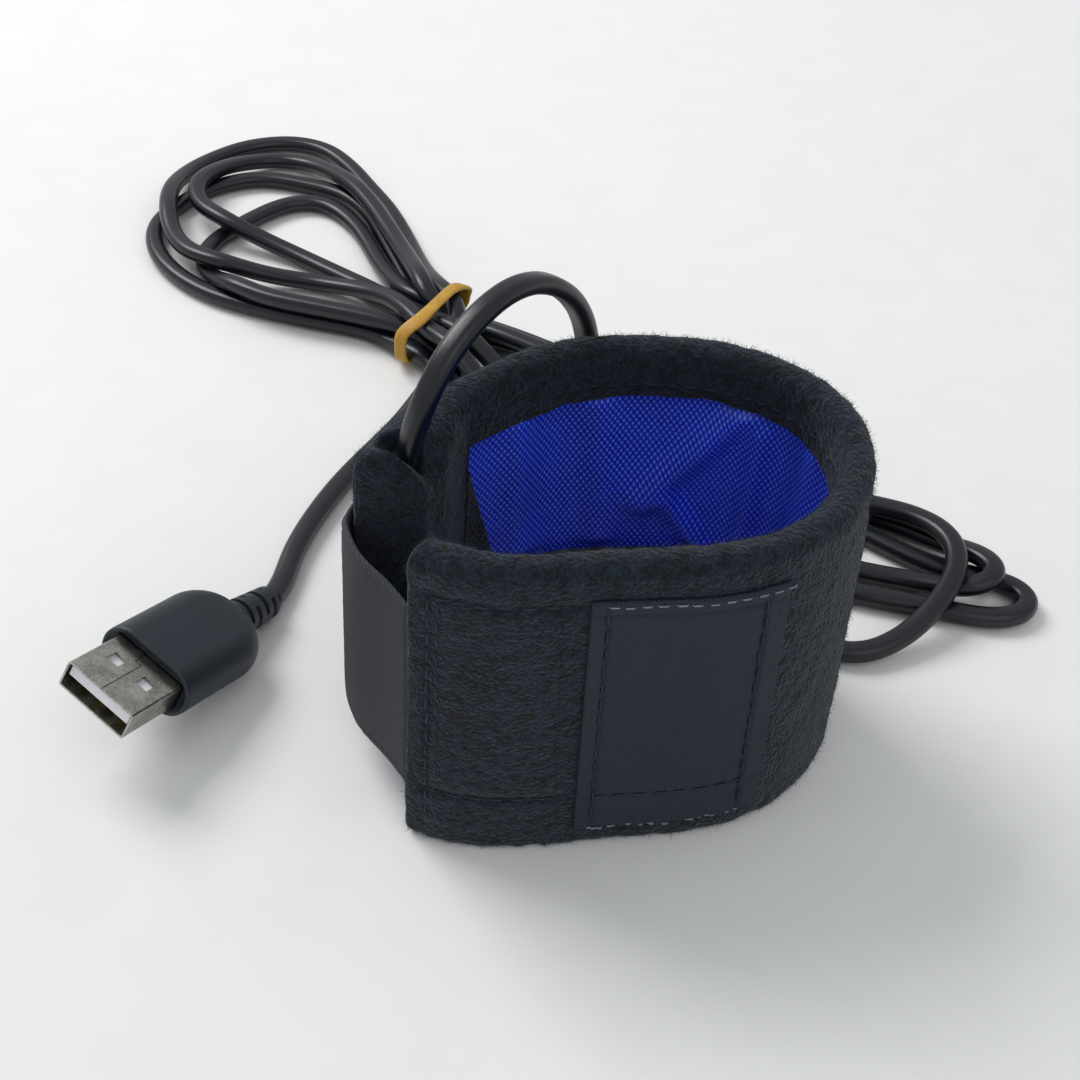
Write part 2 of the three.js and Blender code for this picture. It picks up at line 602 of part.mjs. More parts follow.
// Hook tape, sewn between the layers at the flap and pressed on outside the cable end
function closureStrap() {
    const inside = FLEECE + GAP;
    const outside = -GAP - STRAP_THICKNESS;
    const edge = STRAP_EDGE;
    const low = STRAP_LOWEST;
    const high = STRAP_LOWEST + STRAP_WIDTH;
    const section = new THREE.Shape([
        new THREE.Vector2(edge, low), new THREE.Vector2(STRAP_THICKNESS - edge, low),
        new THREE.Vector2(STRAP_THICKNESS, low + edge), new THREE.Vector2(STRAP_THICKNESS, high - edge),
        new THREE.Vector2(STRAP_THICKNESS - edge, high), new THREE.Vector2(edge, high),
        new THREE.Vector2(0, high - edge), new THREE.Vector2(0, low + edge),
    ]);
    return strip(section, -OPENING - STRAP_OVERLAP, STRAP_TUCK, (along, depth) => {
        const share = smooth(along, -OPENING, -FLEECE);
        return depth + outside + (inside - outside) * share;
    });
}

// Label patch: a thin cloth with its four edges turned under
function labelPatch() {
    const back = -GAP;
    const face = back - LABEL_THICKNESS;
    const raised = face - LABEL_HEM_RISE;
    const low = LABEL_LOWEST;
    const high = LABEL_LOWEST + LABEL_HEIGHT;
    const end = LABEL_START + LABEL_LENGTH;
    const cloth = solid(strip(rectangle(face, back, low, high), LABEL_START, end));
    const hems = [
        solid(strip(rectangle(raised, back, low, high), LABEL_START, LABEL_START + LABEL_HEM)),
        solid(strip(rectangle(raised, back, low, high), end - LABEL_HEM, end)),
        solid(strip(rectangle(raised, back, low, low + LABEL_HEM), LABEL_START, end)),
        solid(strip(rectangle(raised, back, high - LABEL_HEM, high), LABEL_START, end)),
    ];
    return geometryOf(hems.reduce((whole, hem) => whole.add(hem), cloth));
}


// The lead

// One stretch of the whole route, from one distance along it to another
class CordStretch extends THREE.Curve {
    constructor(from, to) {
        super();
        this.from = from / CORD_LENGTH;
        this.to = to / CORD_LENGTH;
    }

    getPoint(share) {
        return WHOLE_CORD.getPointAt(this.from + (this.to - this.from) * share);
    }
}

const WHOLE_CORD = route(CORD_ROUTE);
WHOLE_CORD.arcLengthDivisions = CORD_DIVISIONS;
const CORD_LENGTH = WHOLE_CORD.getLength();
const TAIL_START = CORD_LENGTH - TAIL_LENGTH;

function cordPiece(from, to) {
    const steps = Math.round((to - from) / CORD_STEP);
    return tube(new CordStretch(from, to), CORD_DIAMETER, CORD_SIDES, steps);
}

// Turns a piece drawn at the origin to the waist of the hank
function atWaist(geometry) {
    return geometry.rotateZ(radians(WAIST_TURN)).translate(WAIST_X, WAIST_Y, 0);
}

// Outline of the rubber loop seen along the cord, drawn in by an inset
function tieOutline(inset) {
    const half = TIE_LENGTH / 2 - inset;
    const low = WAIST_BASE - GAP - TIE_THICKNESS + inset;
    const high = WAIST_TOP + GAP + TIE_THICKNESS - inset;
    return roundedWall(-half, half, low, high, TIE_ROUND - inset, TIE_BASE_ROUND - inset);
}

function tiePrism(inset, width, hole) {
    const outline = tieOutline(inset);
    if (hole) outline.holes.push(tieOutline(hole));
    return new THREE.ExtrudeGeometry(
        outline, { depth: width, bevelEnabled: false, curveSegments: FOLD_SEGMENTS })
        .translate(0, 0, -width / 2).rotateX(Math.PI / 2).rotateZ(Math.PI / 2);
}

// Flat rubber loop round the waist, upright across the turns
function rubberBand() {
    return atWaist(tiePrism(0, TIE_WIDTH, TIE_THICKNESS));
}


// The plug, drawn along its own axis: x from the mouth to the cable, y across, z up

// Outline of a cross-section: a flat oval with round ends
function ovalRing(x, halfWidth, halfHeight, quarter = 6) {
    const flat = halfWidth - halfHeight;
    const points = [];
    for (const [side, start] of [[1, -90], [-1, 90]]) {
        for (let i = 0; i <= 2 * quarter; i++) {
            const turn = radians(start + 90 * i / quarter);
            points.push(new THREE.Vector3(
                x, side * flat + halfHeight * Math.cos(turn), halfHeight * Math.sin(turn)));
        }
    }
    return points;
}

// Overmould: oval grip with a soft front lip and round shoulders, then the strain relief
function plugGrip() {
    const front = SHELL_SHOWS;
    const back = front + GRIP_LENGTH;
    const wide = GRIP_WIDTH / 2;
    const tall = GRIP_HEIGHT / 2;
    const neck = RELIEF_START / 2;
    const shoulder = neck + GRIP_NECK_STEP;
    const soft = 0.3 * GRIP_LIP;
    const rings = [
        ovalRing(front, wide - GRIP_LIP, tall - GRIP_LIP),
        ovalRing(front + soft, wide - soft, tall - soft),
        ovalRing(front + GRIP_LIP, wide, tall),
    ];
    for (let i = 0; i <= GRIP_STATIONS; i++) {
        const turn = Math.PI / 2 * i / GRIP_STATIONS;
        const share = Math.cos(turn);
        rings.push(ovalRing(
            back - GRIP_SHOULDER * (1 - Math.sin(turn)),
            shoulder + (wide - shoulder) * share,
            neck + (tall - neck) * share ** GRIP_CROWN));
    }
    const grip = solid(loft(rings));
    const pocket = box(
        SHELL_LENGTH - SHELL_SHOWS + 2 * GAP, SHELL_WIDTH + 2 * GAP, SHELL_HEIGHT + 2 * GAP,
        (SHELL_LENGTH + SHELL_SHOWS) / 2, 0, 0);
    return geometryOf(grip.subtract(pocket).add(solid(strainRelief())));
}

// Tapered sleeve whose slots leave two webs each, turned a quarter from one to the next
function strainRelief() {
    const start = SHELL_SHOWS + GRIP_LENGTH;
    const edge = RELIEF_EDGE;
    const cone = solid(new THREE.LatheGeometry([
        new THREE.Vector2(0, -RELIEF_ROOT), new THREE.Vector2(RELIEF_START / 2, -RELIEF_ROOT),
        new THREE.Vector2(RELIEF_START / 2, 0), new THREE.Vector2(RELIEF_END / 2, RELIEF_LENGTH - edge),
        new THREE.Vector2(RELIEF_END / 2 - edge, RELIEF_LENGTH), new THREE.Vector2(0, RELIEF_LENGTH),
    ], RELIEF_SIDES).rotateZ(-Math.PI / 2).translate(start, 0, 0));
    const pitch = (RELIEF_LENGTH - RELIEF_FIRST_SLOT) / RELIEF_SLOTS;
    const narrowing = (RELIEF_START - RELIEF_END) / 2 / RELIEF_LENGTH;
    let relief = cone;
    for (let i = 0; i < RELIEF_SLOTS; i++) {
        const x = RELIEF_FIRST_SLOT + i * pitch;
        const floor = RELIEF_START / 2 - narrowing * x - RELIEF_SLOT_DEPTH;
        for (const half of [0, 180]) {
            const from = radians(half + 90 * (i % 2) + RELIEF_WEB / 2);
            const sweep = radians(180 - RELIEF_WEB);
            const slot = new THREE.LatheGeometry([
                new THREE.Vector2(floor, 0), new THREE.Vector2(RELIEF_START, 0),
                new THREE.Vector2(RELIEF_START, RELIEF_SLOT_WIDTH),
                new THREE.Vector2(floor, RELIEF_SLOT_WIDTH), new THREE.Vector2(floor, 0),
            ], TUBE_SIDES, from, sweep).rotateZ(-Math.PI / 2).translate(start + x, 0, 0);
            relief = relief.subtract(capped(slot));
        }
    }
    return geometryOf(relief);
}

// Closes the two open ends that a part turn of a lathe leaves
function capped(geometry) {
    const bare = geometry.clone();
    bare.deleteAttribute('normal');
    bare.deleteAttribute('uv');
    const merged = mergeVertices(bare, 1e-4);
    const faces = [...merged.index.array];
    const open = new Map();
    for (let i = 0; i < faces.length; i += 3) {
        for (let k = 0; k < 3; k++) {
            const a = faces[i + k];
            const b = faces[i + (k + 1) % 3];
            if (!open.delete(`${b} ${a}`)) open.set(`${a} ${b}`, [a, b]);
        }
    }
    const edges = new Map([...open.values()]);
    while (edges.size) {
        const rim = [edges.keys().next().value];
        while (edges.has(rim.at(-1))) {
            const next = edges.get(rim.at(-1));
            edges.delete(rim.at(-1));
            if (next === rim[0]) break;
            rim.push(next);
        }
        for (let i = 1; i + 1 < rim.length; i++) faces.push(rim[0], rim[i + 1], rim[i]);
    }
    merged.setIndex(faces);
    return solid(merged);
}

// Folded steel shell with two windows above and below and a stepped seam on top
function plugShell() {
    const hollow = (width, height, corner) => roundedWall(
        -width / 2, width / 2, -height / 2, height / 2, corner, corner);
    const outline = hollow(SHELL_WIDTH, SHELL_HEIGHT, SHELL_CORNER);
    const inside = 2 * SHELL_WALL;
    outline.holes.push(hollow(
        SHELL_WIDTH - inside, SHELL_HEIGHT - inside, SHELL_INNER_CORNER));
    const walls = new THREE.ExtrudeGeometry(
        outline, { depth: SHELL_LENGTH, bevelEnabled: false, curveSegments: FOLD_SEGMENTS })
        .rotateX(Math.PI / 2).rotateZ(Math.PI / 2);
    let shell = solid(walls);
    for (const sign of [-1, 1]) {
        shell = shell.subtract(box(
            WINDOW_SIDE, WINDOW_SIDE, 2 * SHELL_HEIGHT,
            WINDOW_BACK + WINDOW_SIDE / 2, sign * WINDOW_APART / 2, 0));
    }
    const top = SHELL_HEIGHT / 2;
    const deep = 3 * SHELL_WALL;
    const half = SHELL_LENGTH / 2;
    const cuts = [
        box(half + SEAM_WIDTH, SEAM_WIDTH, deep, half / 2, 0, top),
        box(SEAM_WIDTH, SEAM_JOG + SEAM_WIDTH, deep, half, SEAM_JOG / 2, top),
        box(half + SEAM_WIDTH, SEAM_WIDTH, deep, 1.5 * half, SEAM_JOG, top),
    ];
    return geometryOf(cuts.reduce((whole, cut) => whole.subtract(cut), shell));
}

const INNER_WIDTH = SHELL_WIDTH - 2 * SHELL_WALL - 2 * GAP;
const INNER_HEIGHT = SHELL_HEIGHT - 2 * SHELL_WALL - 2 * GAP;
const TONGUE_UNDERSIDE = INNER_HEIGHT / 2 - TONGUE_THICKNESS;

// White insulator: a block at the back of the shell and the tongue under its top
function plugInsulator() {
    const tongueLength = SHELL_LENGTH - TONGUE_RECESS;
    const tongue = box(
        tongueLength, INNER_WIDTH, TONGUE_THICKNESS,
        TONGUE_RECESS + tongueLength / 2, 0, INNER_HEIGHT / 2 - TONGUE_THICKNESS / 2);
    const block = box(
        INSULATOR_BLOCK, INNER_WIDTH, INNER_HEIGHT, SHELL_LENGTH - INSULATOR_BLOCK / 2, 0, 0);
    return geometryOf(tongue.add(block));
}

// A flat spring contact under the tongue with its nose turned up
function plugContact(width, place) {
    const start = TONGUE_RECESS + CONTACT_RECESS;
    const low = TONGUE_UNDERSIDE - GAP - CONTACT_THICKNESS;
    const shape = new THREE.Shape();
    shape.moveTo(start, low + CONTACT_THICKNESS / 2);
    shape.lineTo(start + CONTACT_NOSE, low);
    shape.lineTo(start + CONTACT_LENGTH, low);
    shape.lineTo(start + CONTACT_LENGTH, low + CONTACT_THICKNESS);
    shape.lineTo(start, low + CONTACT_THICKNESS);
    return new THREE.ExtrudeGeometry(shape, { depth: width, bevelEnabled: false })
        .rotateX(Math.PI / 2).translate(0, place + width / 2, 0);
}

function plug() {
    const group = new THREE.Group();
    group.add(part('plug_grip', plugGrip(), gripPlastic()));
    group.add(part('plug_shell', plugShell(), steel()));
    group.add(part('plug_insulator', plugInsulator(), whitePlastic()));
    CONTACT_PLACES.forEach((place, i) => {
        group.add(part(`plug_contact_${i + 1}`, plugContact(CONTACT_WIDTHS[i], place), gold()));
    });
    group.rotation.order = 'ZYX';
    group.rotation.set(radians(PLUG_ROLL), radians(PLUG_RISE), radians(PLUG_HEADING));
    group.position.set(...PLUG_MOUTH);
    return group;
}


// The whole strip

const model = new THREE.Group();
model.add(
    part('fleece_band', fleeceBand(), fleece()),
    part('heater_panel', heaterPanel(), nylon()),
    part('wire_carrier', wireCarrier(), felt()),
    part('heating_wire', heatingWire(), wireCoat()),
    part('splice_sleeve_low', spliceSleeve(WIRE_LOWEST), shrinkTube()),
    part('splice_sleeve_high', spliceSleeve(WIRE_HIGHEST), shrinkTube()),
    part('lead_core_red', leadCore(WIRE_HIGHEST, -1), redCore()),
    part('lead_core_black', leadCore(WIRE_LOWEST, 1), blackCore()),
    part('closure_strap', closureStrap(), hookTape()),
    part('label_patch', labelPatch(), labelCloth()),
    part('cord_lead', cordPiece(0, LEAD_LENGTH - GAP), jacket()),
    part('cord_hank', cordPiece(LEAD_LENGTH, TAIL_START), jacket()),
    part('cord_tail', cordPiece(TAIL_START + GAP, CORD_LENGTH), jacket()),
    part('rubber_band', rubberBand(), rubber()),
    plug(),
);

export default model;
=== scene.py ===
"""A dew heater strip for a small telescope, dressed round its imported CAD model.

The band is described flat and then bent to its ring, as in the CAD source: "along" runs
from the flap end to the cable end, "depth" goes from the outer face inwards, and "height"
goes up from the floor. Sizes are in millimetres until a mesh is made.
"""

import bpy
import numpy as np
from mathutils import Matrix


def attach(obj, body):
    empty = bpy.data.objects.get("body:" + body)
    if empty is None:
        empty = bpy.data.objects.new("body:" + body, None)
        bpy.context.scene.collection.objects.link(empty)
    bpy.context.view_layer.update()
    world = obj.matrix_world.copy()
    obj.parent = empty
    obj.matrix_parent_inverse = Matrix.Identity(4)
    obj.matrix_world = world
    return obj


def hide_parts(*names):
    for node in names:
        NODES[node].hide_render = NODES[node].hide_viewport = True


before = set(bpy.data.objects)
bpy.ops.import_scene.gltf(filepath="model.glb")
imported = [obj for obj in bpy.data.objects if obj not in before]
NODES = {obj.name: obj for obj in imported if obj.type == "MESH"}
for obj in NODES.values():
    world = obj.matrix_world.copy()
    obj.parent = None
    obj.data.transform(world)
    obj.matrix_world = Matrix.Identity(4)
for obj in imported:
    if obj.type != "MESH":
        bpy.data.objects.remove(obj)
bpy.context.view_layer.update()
MM = 0.001
UP = np.array((0.0, 0.0, 1.0))

# Camera
CAMERA_PLACE = (-8.67, -198.92, 195.0)
CAMERA_DOWN = 39.0
CAMERA_ROLL = 3.5
CAMERA_LENS = 63.333
CAMERA_SENSOR = 36.0
LAMP_AIM = np.array((-0.01, 0.05, 0.02))

# Plan of the ring, as in the CAD source: mean radius, then waves of it (count, size, turn)
LOOP_CENTRE = (0.7, 0.3)
LOOP_RADIUS = 29.2
LOOP_WAVES = ((2, 5.7, 18.3), (3, 1.0, -22.8), (4, 0.75, 27.3))
FLAP_TURN = 222.0
BAND_LENGTH = 174.0
BAND_HEIGHT = 50.0
RIM_TILT, RIM_DIP, RIM_DIP_TURN = 1.3, 0.7, 45.0

# Fleece and the space between its two layers
FLEECE = 1.4
HALF_CLOTH = FLEECE / 2
LAYERS_APART = 3.7
LAYERS_MEET = 1.45
SWELL, SWELL_START, SWELL_RAMP = 4.4, 146.0, 13.0
WINDOW_START, WINDOW_END = 20.0, 148.0
FLEECE_END, END_ROUND = 168.6, 2.6
RIM_ROUND = 2.0
FOOT_HEIGHT, FOOT_CORNER = 1.5, 0.8
FLAP_SEAM, UPPER_SEAM = 3.6, 43.9
NAP_FOOT, NAP_BEND = 0.022, 0.017

# The window's hems, as heights at places along the band; outside the window they meet
HEMS_MEET, LOWER_HEM = 15.4, 15.2
UPPER_HEM = ((20, 60, 72, 81, 93, 110, 130, 148), (42.5, 41, 39.8, 40.3, 42.2, 42.4, 41.8, 40.8))
LOWER_HEM_SLANT = ((141.2, 143.5, 148), (0, 9, 24))

# The cable's mouth: place, half sizes and depth, and how far the lip beside it sags
EXIT_ALONG, EXIT_DEPTH = 163.5, 4.9
EXIT_HALF_ALONG, EXIT_HALF_DEPTH, EXIT_PIT = 2.9, 2.8, 9.0
LIP_SAG, LIP_SAG_WIDTH = 4.2, 6.5

# Panel, and its folds: from and to a distance from the band's end and a height, width, rise
PANEL_START, PANEL_END, PANEL_LOW, PANEL_HIGH = 17.0, 151.0, 12.0, 45.5
PANEL_DEPTH, PANEL_GAP, PANEL_THICKNESS = 3.1, 0.2, 0.3
PANEL_FOLDS = (
    (36, 43, 38, 16, 3.4, 0.9), (50, 43, 52, 17, 3.2, 0.8), (58, 24, 73, 41, 2.4, 1.2),
    (62, 24, 69, 16, 2.0, 0.9), (76, 38, 75, 18, 2.2, 0.8), (88, 42, 84, 18, 3.0, 0.9),
)
FOLD_PROUD = 1.7

# Strap: its depth outside the cable end, its step inwards at the flap, and how far its taut
# part runs inside the ring's curve
STRAP_LOW, STRAP_WIDTH, STRAP_THICKNESS = 7.0, 32.0, 1.2
STRAP_OVERLAP, STRAP_TUCK = 24.0, 9.0
STRAP_OUTSIDE, STRAP_STEP, STRAP_CHORD = -0.9, 3.2, 2.8
STRAP_BOUND, STRAP_FURROW = 1.7, 0.22

# Label
LABEL_START, LABEL_LENGTH, LABEL_LOW, LABEL_HEIGHT = 23.5, 26.0, 3.8, 41.0
LABEL_END, LABEL_TOP = LABEL_START + LABEL_LENGTH, LABEL_LOW + LABEL_HEIGHT
LABEL_HEM, LABEL_HEM_RIGHT, LABEL_HEM_TOP, LABEL_SEAM_RIGHT = 2.0, 3.1, 2.0, 3.3
LABEL_FOOT, LABEL_FACE, LABEL_BACK = 10.0, 0.62, -0.1

# Stitches: rings along one, as shares of its length, how far they dip, and their radii
STITCH_SHARES, STITCH_DIPS = (0.0, 0.22, 0.78, 1.0), (0.22, 0.0, 0.0, 0.22)
STITCH_RADII, STITCH_SIDES = (0.05, 0.13, 0.13, 0.05), 6

# Cord: its way out of the band, its section, and how its route is sampled and smoothed
CORD_SIDES, CORD_SIDE_STEP = 22, 0.45
CORD_ROUND, CORD_SPREAD, CORD_HALF_HEIGHT = 1.38, 0.42, 1.45
GROOVE_DEPTH, GROOVE_WIDTH = 0.07, 0.25
ROUTE_STEP, SPAN_POINTS = 0.9, 16
EASE_REACH, EASE_WIDTH, HEADING_REACH = 7, 3.2, 8
CORD_ROUTE = np.array([
    (-27.8, -0.6, 27.5), (-27.7, -0.6, 36), (-27.2, -0.6, 43.5), (-26.3, -0.5, 49),
    (-24.7, 0.4, 54.6), (-22.2, 3.4, 59.8), (-18.4, 9, 63), (-14.6, 14.8, 63.6), (-10.9, 20, 62),
    (-7.3, 24.5, 58), (-4.8, 27.6, 52.6), (-3.5, 29.4, 46), (-3, 30.4, 37), (-3, 31, 27),
    (-3.4, 32, 17.5), (-4.8, 34.2, 9.4), (-7.6, 38.2, 4), (-11, 44, 2), (-14.1, 51.8, 1.9),
    (-16.9, 61.4, 1.8), (-19.9, 70.9, 1.8), (-24.1, 79.9, 1.8), (-26.4, 83.2, 1.8),
    (-29.1, 86.2, 2), (-31.8, 89, 3), (-34.6, 91.3, 3), (-37.2, 93.9, 2.1), (-39.9, 96.5, 1.8),
    (-43.1, 98.2, 1.8), (-46.8, 99.2, 1.8), (-50.7, 100, 1.8), (-58.4, 101.9, 1.8),
    (-66.1, 104.3, 1.8), (-73.5, 107.5, 1.8), (-81.2, 113.7, 1.8), (-86.7, 121.9, 1.8),
    (-88.6, 131.4, 1.8), (-85.5, 140.6, 1.8), (-79.8, 148.5, 1.8), (-71.5, 153.1, 1.8),
    (-61.9, 151.8, 1.8), (-53, 148.3, 1.8), (-47, 140.9, 1.8), (-43, 131.7, 1.8),
    (-39.4, 122.5, 1.8), (-35.9, 113.4, 1.8), (-34.7, 109.6, 1.8), (-33.7, 105.5, 1.8),
    (-32, 101.4, 3), (-29.4, 98, 3), (-25.9, 96.4, 2.3), (-21.9, 95.6, 1.8), (-17.9, 94.9, 1.8),
    (-14.1, 93.7, 1.8), (-10.5, 92.1, 1.8), (-2, 86.8, 1.8), (6, 81, 1.8), (13.7, 74.6, 1.8),
    (21.1, 67.9, 1.8), (28.1, 60.7, 1.8), (33.8, 55, 1.8), (39.9, 49.9, 1.8), (46.3, 45.1, 1.8),
    (54.5, 39.4, 1.8), (62.8, 36.8, 1.8), (67, 35.5, 1.8), (69.4, 32, 1.8), (67.6, 28.6, 1.8),
    (63.6, 27.2, 1.8), (58.9, 27.5, 1.8), (51.8, 29.2, 1.8), (42, 31, 1.8), (32.7, 34.5, 1.8),
    (24.2, 39.8, 1.8), (16.5, 46.1, 1.8), (9, 52.7, 1.8), (1.6, 59.5, 1.8), (-5.5, 66.5, 1.8),
    (-12.3, 73.8, 1.8), (-19.1, 81.1, 1.8), (-24.8, 86.9, 1.8), (-27.8, 89.7, 1.8),
    (-30.5, 92.3, 3), (-33.4, 94.6, 3.8), (-37, 96.1, 4.8), (-40.9, 97.1, 5.1), (-44.8, 98, 5.2),
    (-48.7, 99, 5.2), (-52.6, 99.9, 5.2), (-62.2, 102.5, 5.2), (-69.2, 106.7, 5),
    (-74.6, 113.2, 2.2), (-77.3, 119.8, 1.8), (-76.3, 126.5, 1.8), (-71.3, 134.9, 1.8),
    (-65, 142.5, 1.8), (-60.1, 144.7, 1.8), (-55.2, 143.3, 1.8), (-49.1, 135.8, 1.8),
    (-45.7, 128.5, 1.8), (-42.5, 120.4, 2.3), (-38.7, 112, 3.8), (-36.5, 108.4, 4.7),
    (-33.8, 106, 5), (-29.2, 104.2, 3.5), (-24.2, 102.2, 2.6), (-20.7, 100.9, 2.2),
    (-17, 99.6, 1.9), (-13.3, 97.8, 1.8), (-9.7, 95.6, 1.8), (-2.7, 91.4, 1.8), (5.6, 85.9, 1.8),
    (13.7, 80, 1.8), (21.3, 73.5, 1.8), (28.1, 66.2, 1.8), (34.8, 58.9, 1.8), (42.1, 53.2, 1.8),
    (50, 49.2, 1.8), (56.7, 44.2, 2.6), (62.2, 39.4, 4.4), (64.2, 35.4, 4.8), (62, 32.2, 4.5),
    (57.4, 32.6, 3.2), (49.2, 35.4, 1.8), (39.8, 37.6, 1.8), (31.5, 41.9, 1.8), (23.6, 48, 1.8),
    (17.5, 53.1, 1.8), (9.9, 59.6, 1.8), (2.4, 66.2, 1.8), (-5.2, 72.7, 1.8), (-11.2, 77.9, 2.5),
    (-17.2, 83.2, 4.4), (-23, 88.6, 7.3), (-26, 91.3, 8.2), (-29.1, 94.3, 7.2),
    (-31.6, 97.8, 5.9), (-34.7, 101.6, 4.6), (-37.7, 105.4, 3.3), (-40.6, 109, 2.4),
    (-43.7, 112.1, 2), (-50.3, 117, 1.8), (-58.5, 122.6, 1.9), (-66.7, 126.6, 3.1),
    (-74.7, 130, 5.2), (-80.9, 136.6, 5), (-82.4, 144.1, 5.1), (-79.2, 152.6, 4),
    (-73.2, 159.3, 2.4), (-67.8, 161.5, 1.9), (-62.4, 160.1, 2.3), (-56, 153.9, 3.8),
    (-50.7, 146.4, 5.1), (-46.6, 139.3, 5.2), (-43.1, 132, 5.2), (-39.8, 124.3, 5.5),
    (-36.7, 115.8, 6.7), (-33.9, 107.3, 8.2), (-32, 102.9, 7.2), (-28.6, 100.8, 4.7),
    (-25.1, 99.1, 4.3), (-21.7, 96.7, 5), (-18.1, 94.5, 5.2), (-14.5, 92.6, 5.1), (-11, 90.7, 5),
    (-2.5, 85.5, 5), (5.6, 79.7, 5), (13.4, 73.4, 5), (20.9, 66.8, 5.1), (27, 61.6, 5.2),
    (34.7, 55.4, 5.1), (43, 51, 5), (52, 47.6, 5.4), (56.9, 42, 6.1), (57.5, 34.7, 5.9),
    (53.3, 26.2, 4.5), (47.7, 20.4, 2.7), (40.9, 16.9, 1.9), (33.6, 18.6, 1.8),
    (25.7, 24.5, 1.8), (20, 30.2, 1.8), (13.4, 37.7, 1.8), (6.9, 45.3, 1.8), (0.3, 52.8, 1.8),
    (-6.2, 60.3, 1.8), (-12.6, 68, 2.1), (-17.6, 74.2, 3.6), (-22.5, 80.4, 6.3),
    (-25, 83.5, 7.7), (-27.5, 86.6, 8.4), (-30, 89.8, 7.6), (-32.4, 93.1, 7.2),
    (-34.6, 96.6, 7.2), (-37, 100.2, 6.8), (-39.7, 103.9, 5.8), (-42.9, 107.3, 4.5),
    (-46.5, 110, 3.4), (-54, 113.3, 2.1), (-63.6, 113.8, 2.9), (-73, 114.1, 5.2),
    (-79.6, 118, 4.8), (-84, 125, 4.3), (-86.7, 134.2, 5), (-87.6, 143, 4.2),
    (-86.3, 152.2, 2.6), (-82.7, 159.8, 1.8), (-75.9, 166.5, 1.8), (-66.8, 169.5, 1.8),
    (-59.6, 167.4, 1.8), (-53.3, 160.2, 1.8), (-48.4, 151.8, 1.8), (-43.6, 143.4, 1.8),
    (-39.7, 134.3, 1.8), (-37, 126.2, 2.5), (-34.2, 116.9, 4.2), (-30.5, 107.3, 6.7),
    (-28.1, 103.6, 7.2), (-26.9, 99.9, 7.2), (-26.1, 95, 5.5), (-26.2, 91.5, 4.7),
    (-26.9, 87.7, 5), (-28, 83.8, 5.1), (-29.2, 80.1, 4.3), (-30.7, 76.5, 3.4), (-34, 69.2, 2.1),
    (-37.5, 62.1, 1.8), (-41.7, 53, 1.8), (-45, 43.6, 1.9), (-47.4, 33.9, 1.9),
    (-48.52, 23.95, 1.9), (-49.57, 20.21, 2.39),
])

# Rubber band round the waist of the hank
WAIST = np.array((-30.9, 97.2, 0.0))
WAIST_ACROSS = np.array((0.4226, 0.9063, 0.0))
WAIST_ALONG = np.array((0.9063, -0.4226, 0.0))
RUBBER_ACROSS, RUBBER_MIDDLE, RUBBER_UP, RUBBER_SQUARE = 10.45, 5.15, 4.55, 0.62
RUBBER_HALF_WIDTH, RUBBER_HALF_THICKNESS = 1.35, 0.45
RUBBER_STEPS, RUBBER_SIDES = 160, 20

# Plug, with its lip as places past the front and insets from the body
PLUG_MOUTH = np.array((-67.3, -15.2, 13.75))
PLUG_HEADING, PLUG_RISE, PLUG_ROLL = 63.4, 16.0, 19.6
SHELL_SHOWS = 10.4
GRIP_HALF_WIDTH, GRIP_HALF_HEIGHT, GRIP_LENGTH, GRIP_SHOULDER = 8.0, 4.1, 20.5, 6.0
GRIP_SIDES = 88
GRIP_LIP = ((0.4, 0.9), (0.1, 0.62), (0.0, 0.45), (0.06, 0.22), (0.3, 0.04), (0.8, 0.0))
NECK_HALF_WIDTH, NECK_HALF_HEIGHT = 3.5, 3.2
RELIEF_LENGTH, RELIEF_START, RELIEF_END, RELIEF_LIP = 10.0, 3.2, 2.5, 0.4
RELIEF_SLOTS, RELIEF_FIRST, RELIEF_SLOT_WIDTH, RELIEF_SLOT_DEPTH = 4, 1.4, 0.7, 0.75
RELIEF_WEB = 50.0


# Plain sums over whole arrays

def smooth(value, start, end):
    """0 before start, 1 after end, and 3 t squared minus 2 t cubed between them."""
    share = np.clip((value - start) / (end - start), 0, 1)
    return share * share * (3 - 2 * share)


def bump(value, middle, width):
    """A bell: e to the power of minus the squared distance from the middle over width."""
    return np.exp(-((value - middle) / width) ** 2)


def unit(vectors):
    """Each vector over its own length."""
    return vectors / np.maximum(np.linalg.norm(vectors, axis=-1, keepdims=True), 1e-9)


def value_noise(u, v, seed):
    """Random heights from -1 to 1 on the whole numbers of a square grid, joined smoothly."""
    table = np.random.default_rng(seed).uniform(-1, 1, (256, 256))
    u0, v0 = np.floor(u).astype(int), np.floor(v).astype(int)
    fu, fv = u - u0, v - v0
    fu, fv = fu * fu * (3 - 2 * fu), fv * fv * (3 - 2 * fv)
    near = table[u0 % 256, v0 % 256] * (1 - fu) + table[(u0 + 1) % 256, v0 % 256] * fu
    far = table[u0 % 256, (v0 + 1) % 256] * (1 - fu) + table[(u0 + 1) % 256, (v0 + 1) % 256] * fu
    return near * (1 - fv) + far * fv


# The ring that the band is bent to

def loop_point(turn):
    """A point of the plan: the centre plus the radius at that turn, in its direction."""
    radius = LOOP_RADIUS + sum(
        size * np.cos(count * (turn - np.radians(phase))) for count, size, phase in LOOP_WAVES)
    return np.stack([LOOP_CENTRE[0] + radius * np.cos(turn),
                     LOOP_CENTRE[1] + radius * np.sin(turn)], -1)


TURNS = np.radians(FLAP_TURN) + np.linspace(0, 2 * np.pi, 2881)
LENGTHS = np.concatenate([[0], np.cumsum(np.hypot(*np.diff(loop_point(TURNS), axis=0).T))])
LOOP_LENGTH = LENGTHS[-1]
OPENING = LOOP_LENGTH - BAND_LENGTH


